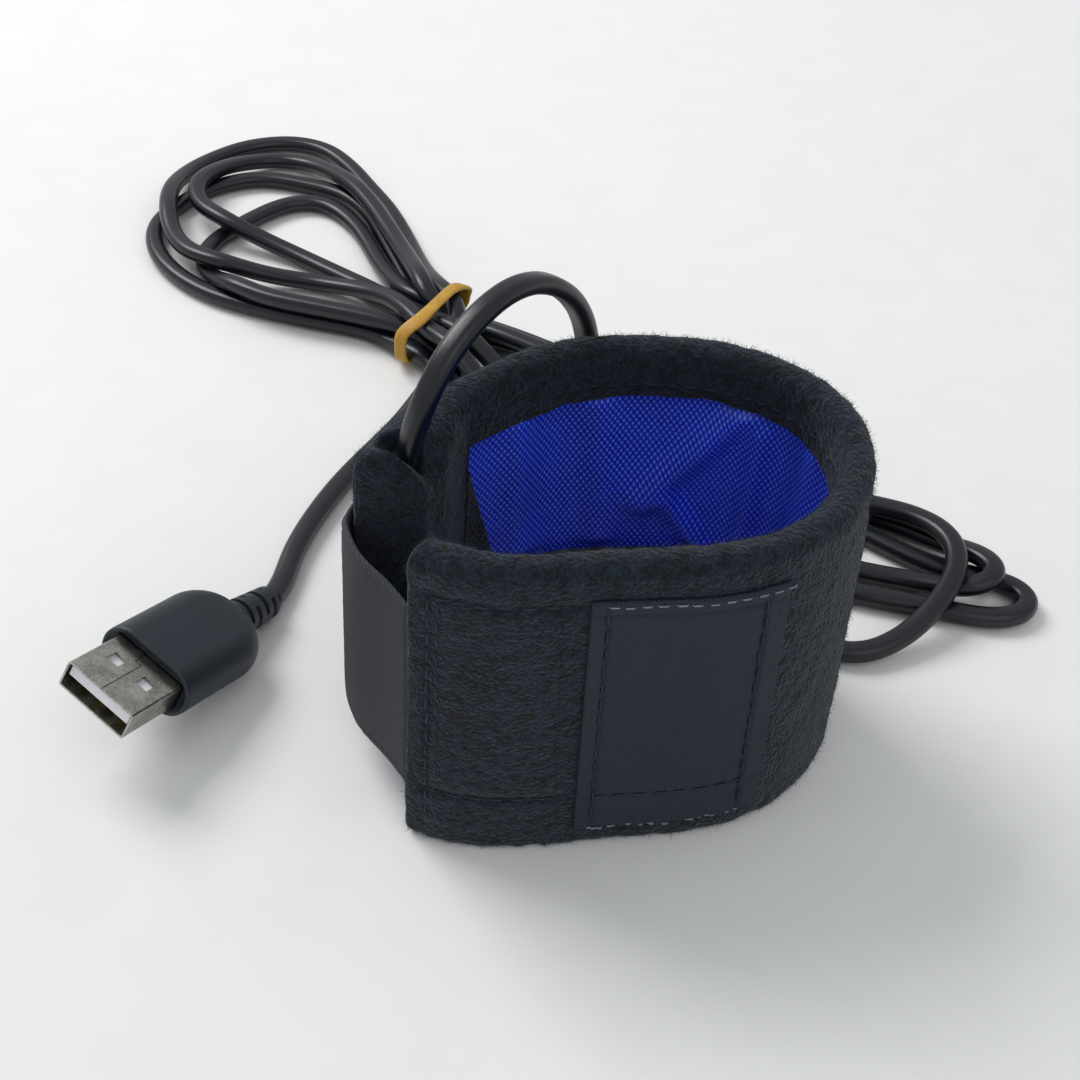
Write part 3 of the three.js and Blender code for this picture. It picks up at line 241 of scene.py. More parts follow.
def band_point(along, depth, height):
    """Bends flat places to the ring: the plan's point at that length, moved inwards by depth,
    at height plus the rim's rise, which grows from nothing at the floor."""
    along, depth, height = np.broadcast_arrays(along, depth, height)
    turn = np.interp(np.mod(along, LOOP_LENGTH), LENGTHS, TURNS)
    tangent = unit(loop_point(turn + 1e-4) - loop_point(turn - 1e-4))
    plan = loop_point(turn) + np.stack([-tangent[..., 1], tangent[..., 0]], -1) * depth[..., None]
    rise = RIM_TILT * np.sin(turn) + RIM_DIP * np.sin(2 * turn - np.radians(RIM_DIP_TURN))
    lift = height + rise * np.clip(height / BAND_HEIGHT, 0, 1)
    return np.concatenate([plan, lift[..., None]], -1)


def swell(along):
    """How far the inner layer stands off for the cable's pocket."""
    return SWELL * smooth(along, SWELL_START, SWELL_START + SWELL_RAMP)


# Meshes

def skin(count, around, closed=False):
    """Quads over a grid of count rings of points: neighbours joined around and along, and
    each end closed by rungs between the ring's two halves."""
    index = np.arange(count * around).reshape(count, around)
    if closed:
        index = np.concatenate([index, index[:1]])
    after = np.roll(index, -1, axis=1)
    faces = [np.stack([index[:-1], after[:-1], after[1:], index[1:]], -1).reshape(-1, 4)]
    if not closed:
        k = np.arange(around // 2 - 1)
        rungs = np.stack([k, k + 1, around - 2 - k, around - 1 - k], -1)
        faces += [rungs[:, ::-1], rungs + (count - 1) * around]
    return np.concatenate(faces)


def turned_out(points, faces):
    """The faces, turned round where the volume that they enclose comes out below zero."""
    corners = points[faces]
    volume = sum(
        np.einsum("ij,ij->i", corners[:, 0], np.cross(corners[:, k], corners[:, k + 1])).sum()
        for k in range(1, faces.shape[1] - 1))
    return faces[:, ::-1] if volume < 0 else faces


def make_piece(name, points, faces, material, flat=None, sharp=None):
    """A mesh object from points in millimetres, with a flat map in millimetres if given."""
    points = points.reshape(-1, 3)
    faces = turned_out(points, faces)
    mesh = bpy.data.meshes.new(name)
    mesh.from_pydata((points * MM).tolist(), [], faces.tolist())
    if flat is not None:
        layer = mesh.uv_layers.new(name="Flat")
        layer.data.foreach_set("uv", flat.reshape(-1, 2)[faces].ravel())
    mesh.shade_smooth()
    if sharp:
        mesh.set_sharp_from_angle(angle=np.radians(sharp))
    mesh.materials.append(material)
    piece = bpy.data.objects.new(name, mesh)
    bpy.context.scene.collection.objects.link(piece)
    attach(piece, "root")
    return piece


# Shader groups

def group_start(name, inputs, outputs):
    """An empty group with its named sockets, and its two end nodes."""
    tree = bpy.data.node_groups.new(name, "ShaderNodeTree")
    for label, kind, value in inputs:
        socket = tree.interface.new_socket(name=label, in_out="INPUT", socket_type=kind)
        if value is not None:
            socket.default_value = value
    for label, kind in outputs:
        tree.interface.new_socket(name=label, in_out="OUTPUT", socket_type=kind)
    return tree, tree.nodes.new("NodeGroupInput"), tree.nodes.new("NodeGroupOutput")


def join(tree, source, target):
    tree.links.new(source, target)


def sum_node(tree, operation, *values):
    """The result of a Math node; each value is a number or the socket that feeds it."""
    node = tree.nodes.new("ShaderNodeMath")
    node.operation = operation
    for socket, value in zip(node.inputs, values):
        if isinstance(value, (int, float)):
            socket.default_value = value
        else:
            join(tree, value, socket)
    return node.outputs[0]


def blend_node(tree, share, first, second):
    """A colour between two, by a share from 0 to 1."""
    node = tree.nodes.new("ShaderNodeMix")
    node.data_type = "RGBA"
    join(tree, share, node.inputs["Factor"])
    for socket, value in ((node.inputs[6], first), (node.inputs[7], second)):
        if isinstance(value, tuple):
            socket.default_value = value
        else:
            join(tree, value, socket)
    return node.outputs[2]


def grain_group():
    """Two sizes of noise in object space: patches shift the colour, grain lifts the surface."""
    tree, start, end = group_start(
        "Grain",
        (("Dark", "NodeSocketColor", None), ("Light", "NodeSocketColor", None),
         ("Patch size", "NodeSocketFloat", 200.0), ("Grain size", "NodeSocketFloat", 2000.0),
         ("Contrast", "NodeSocketFloat", 1.0)),
        (("Color", "NodeSocketColor"), ("Height", "NodeSocketFloat")))
    place = tree.nodes.new("ShaderNodeTexCoord").outputs["Object"]
    noises = []
    for label, detail in (("Patch size", 3.0), ("Grain size", 2.0)):
        noise = tree.nodes.new("ShaderNodeTexNoise")
        noise.inputs["Detail"].default_value = detail
        join(tree, place, noise.inputs["Vector"])
        join(tree, start.outputs[label], noise.inputs["Scale"])
        noises.append(noise.outputs["Fac"])
    mixed = sum_node(tree, "ADD", sum_node(tree, "MULTIPLY", noises[0], 0.5),
                     sum_node(tree, "MULTIPLY", noises[1], 0.5))
    shifted = sum_node(tree, "SUBTRACT", mixed, 0.5)
    centred = sum_node(tree, "MULTIPLY", shifted, start.outputs["Contrast"])
    stretched = sum_node(tree, "MULTIPLY", centred, 3.0)
    share = tree.nodes.new("ShaderNodeClamp")
    join(tree, sum_node(tree, "ADD", stretched, 0.5), share.inputs[0])
    join(tree, blend_node(tree, share.outputs[0], start.outputs["Dark"], start.outputs["Light"]),
         end.inputs["Color"])
    join(tree, noises[1], end.inputs["Height"])
    return tree


def thread_group():
    """Threads on the flat map: staggered dots from the product of two cosines, or slanting
    ribs from one sine of both, by Slant."""
    tree, start, end = group_start(
        "Threads",
        (("Across", "NodeSocketFloat", 0.85), ("Up", "NodeSocketFloat", 0.6),
         ("Slant", "NodeSocketFloat", 0.0), ("Sharpness", "NodeSocketFloat", 2.0)),
        (("Mask", "NodeSocketFloat"), ("Height", "NodeSocketFloat")))
    parts = tree.nodes.new("ShaderNodeSeparateXYZ")
    join(tree, tree.nodes.new("ShaderNodeTexCoord").outputs["UV"], parts.inputs[0])
    u, v = (sum_node(tree, "MULTIPLY",
                     sum_node(tree, "DIVIDE", parts.outputs[i], start.outputs[label]), 2 * np.pi)
            for i, label in enumerate(("Across", "Up")))
    dots = sum_node(tree, "MULTIPLY", sum_node(tree, "COSINE", u), sum_node(tree, "COSINE", v))
    ribs = sum_node(tree, "SINE", sum_node(tree, "ADD", u, v))
    mix = tree.nodes.new("ShaderNodeMix")
    join(tree, start.outputs["Slant"], mix.inputs["Factor"])
    join(tree, dots, mix.inputs[2])
    join(tree, ribs, mix.inputs[3])
    height = sum_node(tree, "ADD", sum_node(tree, "MULTIPLY", mix.outputs[0], 0.5), 0.5)
    join(tree, sum_node(tree, "POWER", height, start.outputs["Sharpness"]), end.inputs["Mask"])
    join(tree, height, end.inputs["Height"])
    return tree


GRAIN = grain_group()
THREADS = thread_group()


def colour(text):
    """A colour written as in a paint chart, turned to linear light."""
    values = np.array([int(text[i:i + 2], 16) for i in (0, 2, 4)]) / 255
    linear = np.where(values <= 0.04045, values / 12.92, ((values + 0.055) / 1.055) ** 2.4)
    return (*linear.tolist(), 1.0)


def finish(name, dark, light, roughness, patch=200.0, grain=2000.0, contrast=1.0, relief=0.1,
           lift=0.0002, threads=None, thread_colour=None, thread_lift=0.00015, **sockets):
    """A material: grain between two colours, threads over it where given, and both as relief."""
    material = bpy.data.materials.new(name)
    material.use_nodes = True
    tree = material.node_tree
    shader = tree.nodes["Principled BSDF"]
    shader.inputs["Roughness"].default_value = roughness
    for label, value in sockets.items():
        shader.inputs[label.replace("_", " ")].default_value = value
    base = tree.nodes.new("ShaderNodeGroup")
    base.node_tree = GRAIN
    for label, value in (("Dark", colour(dark)), ("Light", colour(light)), ("Patch size", patch),
                         ("Grain size", grain), ("Contrast", contrast)):
        base.inputs[label].default_value = value
    tint = base.outputs["Color"]
    relief_node = tree.nodes.new("ShaderNodeBump")
    relief_node.inputs["Strength"].default_value = relief
    relief_node.inputs["Distance"].default_value = lift
    join(tree, base.outputs["Height"], relief_node.inputs["Height"])
    normal = relief_node.outputs[0]
    if threads:
        weave = tree.nodes.new("ShaderNodeGroup")
        weave.node_tree = THREADS
        for label, value in zip(("Across", "Up", "Slant", "Sharpness"), threads):
            weave.inputs[label].default_value = value
        tint = blend_node(tree, weave.outputs["Mask"], tint, colour(thread_colour))
        thread_node = tree.nodes.new("ShaderNodeBump")
        thread_node.inputs["Strength"].default_value = 0.8
        thread_node.inputs["Distance"].default_value = thread_lift
        join(tree, weave.outputs["Height"], thread_node.inputs["Height"])
        join(tree, normal, thread_node.inputs["Normal"])
        normal = thread_node.outputs[0]
    join(tree, tint, shader.inputs["Base Color"])
    join(tree, normal, shader.inputs["Normal"])
    return material


FLEECE_CLOTH = finish("Fleece", "02050b", "142234", 1.0, patch=620, grain=1700, contrast=2.0,
                      relief=1.0, lift=0.0006, Sheen_Weight=0.12, Sheen_Roughness=0.5)
# Nap fibres: coloured lighter bluish grey than the cloth, a painted highlight on the fibre tips
NAP_PAINTED_HIGHLIGHT = finish("Fleece nap", "08101c", "25364a", 0.95, patch=500, grain=3000, contrast=1.5,
                    Sheen_Weight=0.1, Sheen_Roughness=0.4)
PANEL_CLOTH = finish("Panel weave", "0616b4", "0e2ee0", 0.38, patch=120, grain=3000,
                     threads=(0.95, 1.25, 0.0, 4.0), thread_colour="86b0ff", relief=0.2)
STRAP_CLOTH = finish("Strap knit", "1a1b1f", "292a2f", 0.75, patch=300, grain=4000, relief=0.5,
                     threads=(1.3, 0.5, 1.0, 2.0), thread_colour="363a42", thread_lift=0.00014)
LABEL_CLOTH = finish("Label twill", "0a121d", "121c2a", 0.7, patch=250, grain=3500, relief=0.5,
                     threads=(0.5, 0.5, 1.0, 2.0), thread_colour="1f2c3d", thread_lift=0.00009)
THREAD_DARK = finish("Thread dark", "0c1420", "223042", 0.6, grain=5000)
THREAD_PALE = finish("Thread pale", "55606d", "8a939d", 0.6, grain=5000)
JACKET = finish("Cord jacket", "05080e", "0b111b", 0.33, patch=60, grain=2600, relief=0.12,
                Specular_IOR_Level=0.5)
RUBBER = finish("Rubber", "a87b1c", "c89a34", 0.5, patch=260, grain=2500, relief=0.3)
GRIP = finish("Grip plastic", "111822", "18202c", 0.5, patch=150, grain=6000, relief=0.35,
              lift=0.0001)
STEEL = finish("Plug steel", "8f9088", "b9baae", 0.3, patch=420, grain=3000, contrast=1.6,
               relief=0.12, lift=0.00008, Metallic=1.0)
WHITE = finish("Insulator", "d9d8df", "efeef2", 0.5, grain=4000)
GOLD = finish("Contact gold", "a67c2e", "d0a650", 0.3, grain=4000, Metallic=1.0)
FELT = finish("Felt", "77797c", "989a9d", 1.0, patch=400, grain=2500, contrast=1.5, relief=0.8)
WIRE_COAT = finish("Wire coat", "a9a498", "c6c1b5", 0.5, grain=4000)
SHRINK = finish("Shrink tube", "151517", "222226", 0.6, grain=4000)
CORE_RED = finish("Core red", "8d1a1a", "b02626", 0.45, grain=4000)
CORE_BLACK = finish("Core black", "101010", "1c1c1c", 0.45, grain=4000)
FLOOR = finish("Floor", "e9e9e6", "ededeb", 0.85, patch=9, grain=90, relief=0.02)

for node, material in (
        ("wire_carrier", FELT), ("heating_wire", WIRE_COAT), ("splice_sleeve_low", SHRINK),
        ("splice_sleeve_high", SHRINK), ("lead_core_red", CORE_RED),
        ("lead_core_black", CORE_BLACK), ("plug_shell", STEEL), ("plug_insulator", WHITE),
        ("plug_contact_1", GOLD), ("plug_contact_2", GOLD), ("plug_contact_3", GOLD),
        ("plug_contact_4", GOLD)):
    for place in NODES[node].material_slots:
        place.material = material


# Camera, lamps and floor

def add_camera():
    """Looks along +Y and down, turned a little about its own line of sight."""
    down, roll = np.radians(CAMERA_DOWN), np.radians(CAMERA_ROLL)
    ahead = np.array((0, np.cos(down), -np.sin(down)))
    level, above = np.array((1.0, 0, 0)), np.array((0, np.sin(down), np.cos(down)))
    right = level * np.cos(roll) + above * np.sin(roll)
    upward = -level * np.sin(roll) + above * np.cos(roll)
    lens = bpy.data.cameras.new("Camera")
    lens.lens, lens.sensor_width = CAMERA_LENS, CAMERA_SENSOR
    lens.clip_start, lens.clip_end = 0.01, 20
    camera = bpy.data.objects.new("Camera", lens)
    matrix = np.eye(4)
    matrix[:3, :] = np.column_stack([right, upward, -ahead, np.array(CAMERA_PLACE) * MM])
    camera.matrix_world = Matrix(matrix.tolist())
    bpy.context.scene.collection.objects.link(camera)
    bpy.context.scene.camera = camera


def add_lamp(name, place, size, power):
    """A square soft lamp that faces the middle of the object."""
    light = bpy.data.lights.new(name, "AREA")
    light.shape, light.size, light.energy = "SQUARE", size, power
    lamp = bpy.data.objects.new(name, light)
    back = unit(np.array(place) - LAMP_AIM)
    side = unit(np.cross(UP, back))
    matrix = np.eye(4)
    matrix[:3, :] = np.column_stack([side, np.cross(back, side), back, place])
    lamp.matrix_world = Matrix(matrix.tolist())
    bpy.context.scene.collection.objects.link(lamp)


def add_studio():
    """Soft lamps, an even pale sky and a pale floor."""
    add_lamp("Key", (-0.6, 0.5, 0.8), 0.55, 7.5)
    add_lamp("Fill", (0.45, -0.6, 0.9), 0.9, 1.7)
    sky = bpy.data.worlds.new("Sky")
    sky.use_nodes = True
    background = sky.node_tree.nodes["Background"]
    background.inputs["Color"].default_value = (0.93, 0.96, 1.0, 1.0)
    background.inputs["Strength"].default_value = 0.56
    bpy.context.scene.world = sky
    bpy.context.scene.view_settings.view_transform = "Standard"
    reach = 3.0
    corners = [(-reach, -reach, 0), (reach, -reach, 0), (reach, reach, 0), (-reach, reach, 0)]
    mesh = bpy.data.meshes.new("Floor")
    mesh.from_pydata(corners, [], [(0, 1, 2, 3)])
    mesh.materials.append(FLOOR)
    floor = bpy.data.objects.new("Floor", mesh)
    bpy.context.scene.collection.objects.link(floor)


add_camera()
add_studio()


# The lead and its hank

def root_gap(first, second):
    """The square root of the distance between points."""
    return np.sqrt(np.linalg.norm(second - first, axis=-1, keepdims=True))


def smooth_route(knots, step):
    """A centripetal Catmull-Rom curve through the knots, then points a step apart on it,
    each put at the weighted middle of its neighbours so that no bend is sharp."""
    ends = np.vstack([2 * knots[0] - knots[1], knots, 2 * knots[-1] - knots[-2]])
    p0, p1, p2, p3 = (ends[i:len(ends) - 3 + i, None, :] for i in range(4))
    t1 = root_gap(p0, p1)
    t2 = t1 + root_gap(p1, p2)
    t3 = t2 + root_gap(p2, p3)
    t = t1 + (t2 - t1) * np.linspace(0, 1, SPAN_POINTS, endpoint=False)[None, :, None]
    a1 = p0 * (t1 - t) / t1 + p1 * t / t1
    a2 = p1 * (t2 - t) / (t2 - t1) + p2 * (t - t1) / (t2 - t1)
    a3 = p2 * (t3 - t) / (t3 - t2) + p3 * (t - t2) / (t3 - t2)
    b1 = a1 * (t2 - t) / t2 + a2 * t / t2
    b2 = a2 * (t3 - t) / (t3 - t1) + a3 * (t - t1) / (t3 - t1)
    curve = (b1 * (t2 - t) / (t2 - t1) + b2 * (t - t1) / (t2 - t1)).reshape(-1, 3)
    curve = np.vstack([curve, knots[-1]])
    lengths = np.concatenate([[0], np.cumsum(np.linalg.norm(np.diff(curve, axis=0), axis=1))])
    even = np.linspace(0, lengths[-1], int(lengths[-1] / step) + 1)
    path = np.stack([np.interp(even, lengths, curve[:, k]) for k in range(3)], 1)
    kernel = np.exp(-(np.arange(-EASE_REACH, EASE_REACH + 1) / EASE_WIDTH) ** 2)
    kernel = kernel / kernel.sum()
    soft = np.stack([
        np.convolve(np.pad(path[:, k], EASE_REACH, "reflect", reflect_type="odd"), kernel, "valid")
        for k in range(3)], 1)
    return soft, np.linalg.norm(np.diff(soft, axis=0), axis=1).sum()


def cord_section(around):
    """Two round cores side by side under one jacket, across and up: an oval with a shallow
    groove where they meet."""
    turn = np.linspace(0, 2 * np.pi, around, endpoint=False)
    across = CORD_ROUND * np.cos(turn) + CORD_SPREAD * np.tanh(3 * np.cos(turn))
    groove = 1 - GROOVE_DEPTH * bump(np.cos(turn), 0, GROOVE_WIDTH)
    return across, CORD_HALF_HEIGHT * np.sin(turn) * groove


def make_cord():
    """The section carried along the route, its wide side kept level with the floor."""
    path, length = smooth_route(CORD_ROUTE, ROUTE_STEP)
    tangent = unit(np.gradient(path, axis=0))
    window = 2 * HEADING_REACH + 1
    heading = np.stack([
        np.convolve(np.pad(tangent[:, k], HEADING_REACH, "edge"), np.ones(window) / window, "valid")
        for k in (0, 1)], 1)
    side = unit(np.column_stack([-heading[:, 1], heading[:, 0], np.zeros(len(path))]))
    side = unit(side - tangent * np.sum(side * tangent, axis=1, keepdims=True))
    over = np.cross(tangent, side)
    across, up = cord_section(CORD_SIDES)
    points = path[:, None] + side[:, None] * across[:, None] + over[:, None] * up[:, None]
    flat = np.stack(np.broadcast_arrays(
        np.arange(len(path))[:, None] * ROUTE_STEP, np.arange(CORD_SIDES) * CORD_SIDE_STEP), -1)
    cord = make_piece("cord", points, skin(len(path), CORD_SIDES), JACKET, flat)
    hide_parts("cord_lead", "cord_hank", "cord_tail")
    return cord, path, length


cord, cord_path, cord_length = make_cord()


def signed_power(value, power):
    """A cosine or sine to a power below 1 with its sign kept, which squares up a round."""
    return np.sign(value) * np.abs(value) ** power


def make_rubber_band():
    """A flat strip, rounded at its edges and a little wavy, round an oblong loop that stands
    across the turns."""
    turn = np.linspace(0, 2 * np.pi, RUBBER_STEPS, endpoint=False)[:, None]
    across = RUBBER_ACROSS * signed_power(np.cos(turn), RUBBER_SQUARE)
    up = RUBBER_MIDDLE + RUBBER_UP * signed_power(np.sin(turn), RUBBER_SQUARE)
    edge = np.linspace(0, 2 * np.pi, RUBBER_SIDES, endpoint=False)[None, :]
    wide = RUBBER_HALF_WIDTH * signed_power(np.cos(edge), 0.6) * (1 + 0.10 * np.sin(3 * turn + 1))
    thick = RUBBER_HALF_THICKNESS * np.sin(edge) + 0.12 * np.sin(5 * turn) * np.cos(edge)
    sway = 1.2 * np.sin(turn + 0.6) + 0.3 * np.sin(4 * turn)
    points = (WAIST + WAIST_ACROSS * (across + thick * np.cos(turn))[..., None]
              + UP * (up + thick * np.sin(turn))[..., None]
              + WAIST_ALONG * (wide + sway * np.ones_like(edge))[..., None])
    faces = skin(RUBBER_STEPS, RUBBER_SIDES, closed=True)
    piece = make_piece("rubber_loop", points, faces, RUBBER)
    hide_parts("rubber_band")
    return piece


rubber_loop = make_rubber_band()


# The plug's overmould

def plug_place(points):
    """Points on the plug's own axes (from the mouth to the cable, across, up), turned by its
    roll, rise and heading and moved to its mouth."""
    h, r, roll = np.radians((PLUG_HEADING, PLUG_RISE, PLUG_ROLL))
    about_z = np.array(((np.cos(h), -np.sin(h), 0), (np.sin(h), np.cos(h), 0), (0, 0, 1)))
    about_y = np.array(((np.cos(r), 0, np.sin(r)), (0, 1, 0), (-np.sin(r), 0, np.cos(r))))
    about_x = np.array(
        ((1, 0, 0), (0, np.cos(roll), -np.sin(roll)), (0, np.sin(roll), np.cos(roll))))
    return points @ (about_z @ about_y @ about_x).T + PLUG_MOUTH


def make_grip():
    """Rings from the pocket round the shell, over the lip, along the oval body and its round
    shoulders, to the tapered sleeve, whose slots leave two webs each. Every ring is an oblong
    with round corners, given as its place on the axis, half width, half height and corner: the
    corner's centre plus the corner's radius in each direction."""
    front, back = SHELL_SHOWS, SHELL_SHOWS + GRIP_LENGTH
    wide, tall = GRIP_HALF_WIDTH, GRIP_HALF_HEIGHT
    turn = (np.arange(GRIP_SIDES) + 0.5) * 2 * np.pi / GRIP_SIDES
    pocket = np.array([(front + 2.0, 6.1, 2.35, 0.5), (front + 0.7, 6.1, 2.35, 0.5),
                       (front + 0.45, 6.3, 2.5, 0.7)])
    lip = np.array([(front + past, wide - inset, tall - inset, tall - inset)
                    for past, inset in GRIP_LIP])
    body = np.linspace(front + 1.6, back - GRIP_SHOULDER, 16)
    body = np.column_stack([body, np.full(16, wide), np.full(16, tall), np.full(16, tall)])
    angle = np.linspace(0, np.pi / 2, 22)[1:]
    neck_height = NECK_HALF_HEIGHT + (tall - NECK_HALF_HEIGHT) * np.cos(angle) ** 0.8
    shoulder = np.column_stack([
        back - GRIP_SHOULDER * (1 - np.sin(angle)),
        NECK_HALF_WIDTH + (wide - NECK_HALF_WIDTH) * np.cos(angle), neck_height, neck_height])
    along = np.linspace(0.1, RELIEF_LENGTH, 100)
    radius = RELIEF_START + (RELIEF_END - RELIEF_START) * along / RELIEF_LENGTH
    radius = radius - RELIEF_LIP * smooth(along, RELIEF_LENGTH - RELIEF_LIP, RELIEF_LENGTH)
    sleeve = np.column_stack([back + along, radius, radius, radius])
    inside = np.array([(back + RELIEF_LENGTH - RELIEF_LIP, 1.7, 1.5, 1.4)])
    rings = np.vstack([pocket, lip, body, shoulder, sleeve, inside])
    x, a, b, corner = (rings[:, k, None] for k in range(4))
    cut = np.zeros((len(rings), GRIP_SIDES))
    pitch = (RELIEF_LENGTH - RELIEF_FIRST) / RELIEF_SLOTS
    half = RELIEF_SLOT_WIDTH / 2
    for i in range(RELIEF_SLOTS):
        middle = back + RELIEF_FIRST + i * pitch + half
        across = 1 - smooth(np.abs(x - middle), half - 0.06, half + 0.08)
        from_web = np.abs((np.degrees(turn) - 90 * (i % 2) + 90) % 180 - 90)[None, :]
        cut = np.maximum(cut, across * smooth(from_web, RELIEF_WEB / 2 - 3, RELIEF_WEB / 2 + 3))
    reach = corner - RELIEF_SLOT_DEPTH * cut
    across = np.sign(np.cos(turn)) * (a - corner) + reach * np.cos(turn)
    up = np.sign(np.sin(turn)) * (b - corner) + reach * np.sin(turn)
    points = plug_place(np.stack([np.broadcast_to(x, across.shape), across, up], -1))
    faces = skin(len(rings), GRIP_SIDES)
    piece = make_piece("plug_overmould", points, faces, GRIP, sharp=50)
    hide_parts("plug_grip")
    return piece


overmould = make_grip()


# The fleece band

def fleece_columns():
    """Places along the band: even, with extra ones at its ends and at the window's edges."""
    end, edge = np.linspace(0, 2.4, 9), np.linspace(-0.6, 0.6, 4)
    return np.unique(np.concatenate([
        np.linspace(0, FLEECE_END, 252), end, FLEECE_END - end,
        WINDOW_START + edge, WINDOW_END + edge]).round(4))


def end_share(along, reach):
    """A quarter circle at both ends of the band: 0 at the end, 1 from reach onwards."""
    near = np.clip(np.minimum(along, FLEECE_END - along) / reach, 0, 1)
    return np.sqrt(1 - (1 - near) ** 2)


def cloth_share(along):
    """How thick the cloth is at a place along the band: it thins in a round over its last
    millimetre, so that its two layers meet there."""
    return 0.15 + 0.85 * end_share(along, 1.0)


def window_share(along):
    """1 along the window in the inner layer, 0 past its ends."""
    return smooth(along, WINDOW_START - 0.5, WINDOW_START + 0.5) \
        * (1 - smooth(along, WINDOW_END - 0.5, WINDOW_END + 0.5))


def stretch(start, end, count):
    """Even places from start to end in each column."""
    return start + (end - start) * np.linspace(0, 1, count)[None]


def fleece_middle(along):
    """The cloth's middle line in each column: up the inner hem, over the rolled rim, down the
    outer face, under, and up the lower hem. Gives depth, height and the outward direction."""
    column = along[:, None]
    pocket = swell(column) * (1 - 0.55 * smooth(column, 165.5, FLEECE_END))
    apart = LAYERS_MEET * cloth_share(column) \
        + (LAYERS_APART - LAYERS_MEET + pocket) * end_share(column, END_ROUND)
    outer, inner = HALF_CLOTH, HALF_CLOTH + apart
    in_window = window_share(column)
    hem_top = HEMS_MEET + (np.interp(column, *UPPER_HEM) - HEMS_MEET) * in_window \
        + 0.3 * value_noise(column / 3.1, column * 0, 5)
    low_top = LOWER_HEM + np.interp(column, *LOWER_HEM_SLANT) * in_window \
        + 0.3 * value_noise(column / 2.7, column * 0, 6)
    rim = np.minimum(apart / 2, RIM_ROUND)
    shoulder = BAND_HEIGHT - HALF_CLOTH - rim
    turn = np.linspace(0, np.pi, 20)[None, 1:-1]
    corner = np.linspace(np.pi, 1.5 * np.pi, 5)[None, 1:]
    under_end = inner - FOOT_CORNER * np.clip(apart / 2, 0, 1)
    parts = [
        (inner, stretch(hem_top, shoulder, 42), (1, 0)),
        (outer + apart / 2 + apart / 2 * np.cos(turn), shoulder + rim * np.sin(turn),
         (np.cos(turn) * rim, np.sin(turn) * apart / 2)),
        (outer, stretch(shoulder, FOOT_HEIGHT, 76), (-1, 0)),
        (outer + FOOT_CORNER + FOOT_CORNER * np.cos(corner),
         FOOT_HEIGHT + FOOT_CORNER * np.sin(corner), (np.cos(corner), np.sin(corner))),
        (stretch(outer + FOOT_CORNER, under_end, 5)[:, 1:], HALF_CLOTH, (0, -1)),
        (inner, stretch(FOOT_HEIGHT, low_top, 28), (1, 0))]
    columns = []
    for depth, height, out in parts:
        shape = (len(along), np.broadcast(depth, height).shape[1])
        columns.append([np.broadcast_to(value, shape) for value in (depth, height, *out)])
    depth, height, out_depth, out_height = (np.concatenate(store, 1) for store in zip(*columns))
    size = np.hypot(out_depth, out_height)
    return depth, height, out_depth / size, out_height / size, apart


def fleece_shape():
    """The cloth on both sides of its middle line, with its nap, its stitch furrows, the hole
    for the cable and the sag of the lip beside it. Gives the grid of both faces."""
    along = fleece_columns()
    depth, height, out_depth, out_height, apart = fleece_middle(along)
    column = along[:, None]
    steps = np.hypot(np.diff(depth, axis=1), np.diff(height, axis=1))
    run = np.concatenate([np.zeros((len(along), 1)), np.cumsum(steps, axis=1)], 1)
    nap = 0.15 * value_noise(column / 0.95 + run / 4, run / 0.95 - column / 4, 11) \
        + 0.07 * value_noise(column / 2.1, run / 2.1 + column / 4, 12) \
        + 0.25 * value_noise(column / 17, run / 15, 13)
    furrow = bump(column, FLAP_SEAM, 0.5) * smooth(height, 4, 8) * smooth(46.5 - height, 0, 2)
    for seam in (UPPER_SEAM, LABEL_FOOT):
        level = bump(height, seam, 0.55) * (column < LABEL_START) * smooth(column, 1, 3)
        furrow = np.maximum(furrow, level)
    outside = (out_depth < -0.5) * smooth(height, 2, 5)
    nap = nap - 0.5 * furrow * outside
    cloth = HALF_CLOTH * cloth_share(column) + 0 * depth
    away = np.sqrt(((column - EXIT_ALONG) / EXIT_HALF_ALONG) ** 2
                   + ((depth - EXIT_DEPTH) / EXIT_HALF_DEPTH) ** 2)
    pit = EXIT_PIT * (1 - smooth(away, 0.55, 1.1)) * (height > 46)
    inward = np.clip((depth - HALF_CLOTH) / apart, 0, 1)
    sag = LIP_SAG * bump(column, EXIT_ALONG - 1.5, LIP_SAG_WIDTH) * smooth(inward, 0.55, 1.0) \
        * smooth(height, 24, 48)
    corner = (1 - end_share(column, END_ROUND)) \
        * (2.2 * smooth(height, 38, 50) - 0.8 * (1 - smooth(height, 0, 8)))
    wave = 0.35 * value_noise(column / 14, column * 0, 21) * smooth(height, 30, 50)
    faces = []
    for reach in (cloth + nap, -cloth):
        h = height + out_height * reach - pit - sag - corner + wave
        faces.append(band_point(column, depth + out_depth * reach, np.maximum(h, 0.02)))
    flat = np.stack([column + 0 * run, run], -1)
    return along, faces[0], faces[1], flat, height, out_depth


along, fleece_face, fleece_back, fleece_flat, fleece_height, fleece_out = fleece_shape()
fleece = make_piece(
    "fleece_cloth", np.concatenate([fleece_face, fleece_back[:, ::-1]], 1),
    skin(len(along), 2 * fleece_face.shape[1]), FLEECE_CLOTH,
    np.concatenate([fleece_flat, fleece_flat[:, ::-1]], 1))
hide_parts("fleece_band")


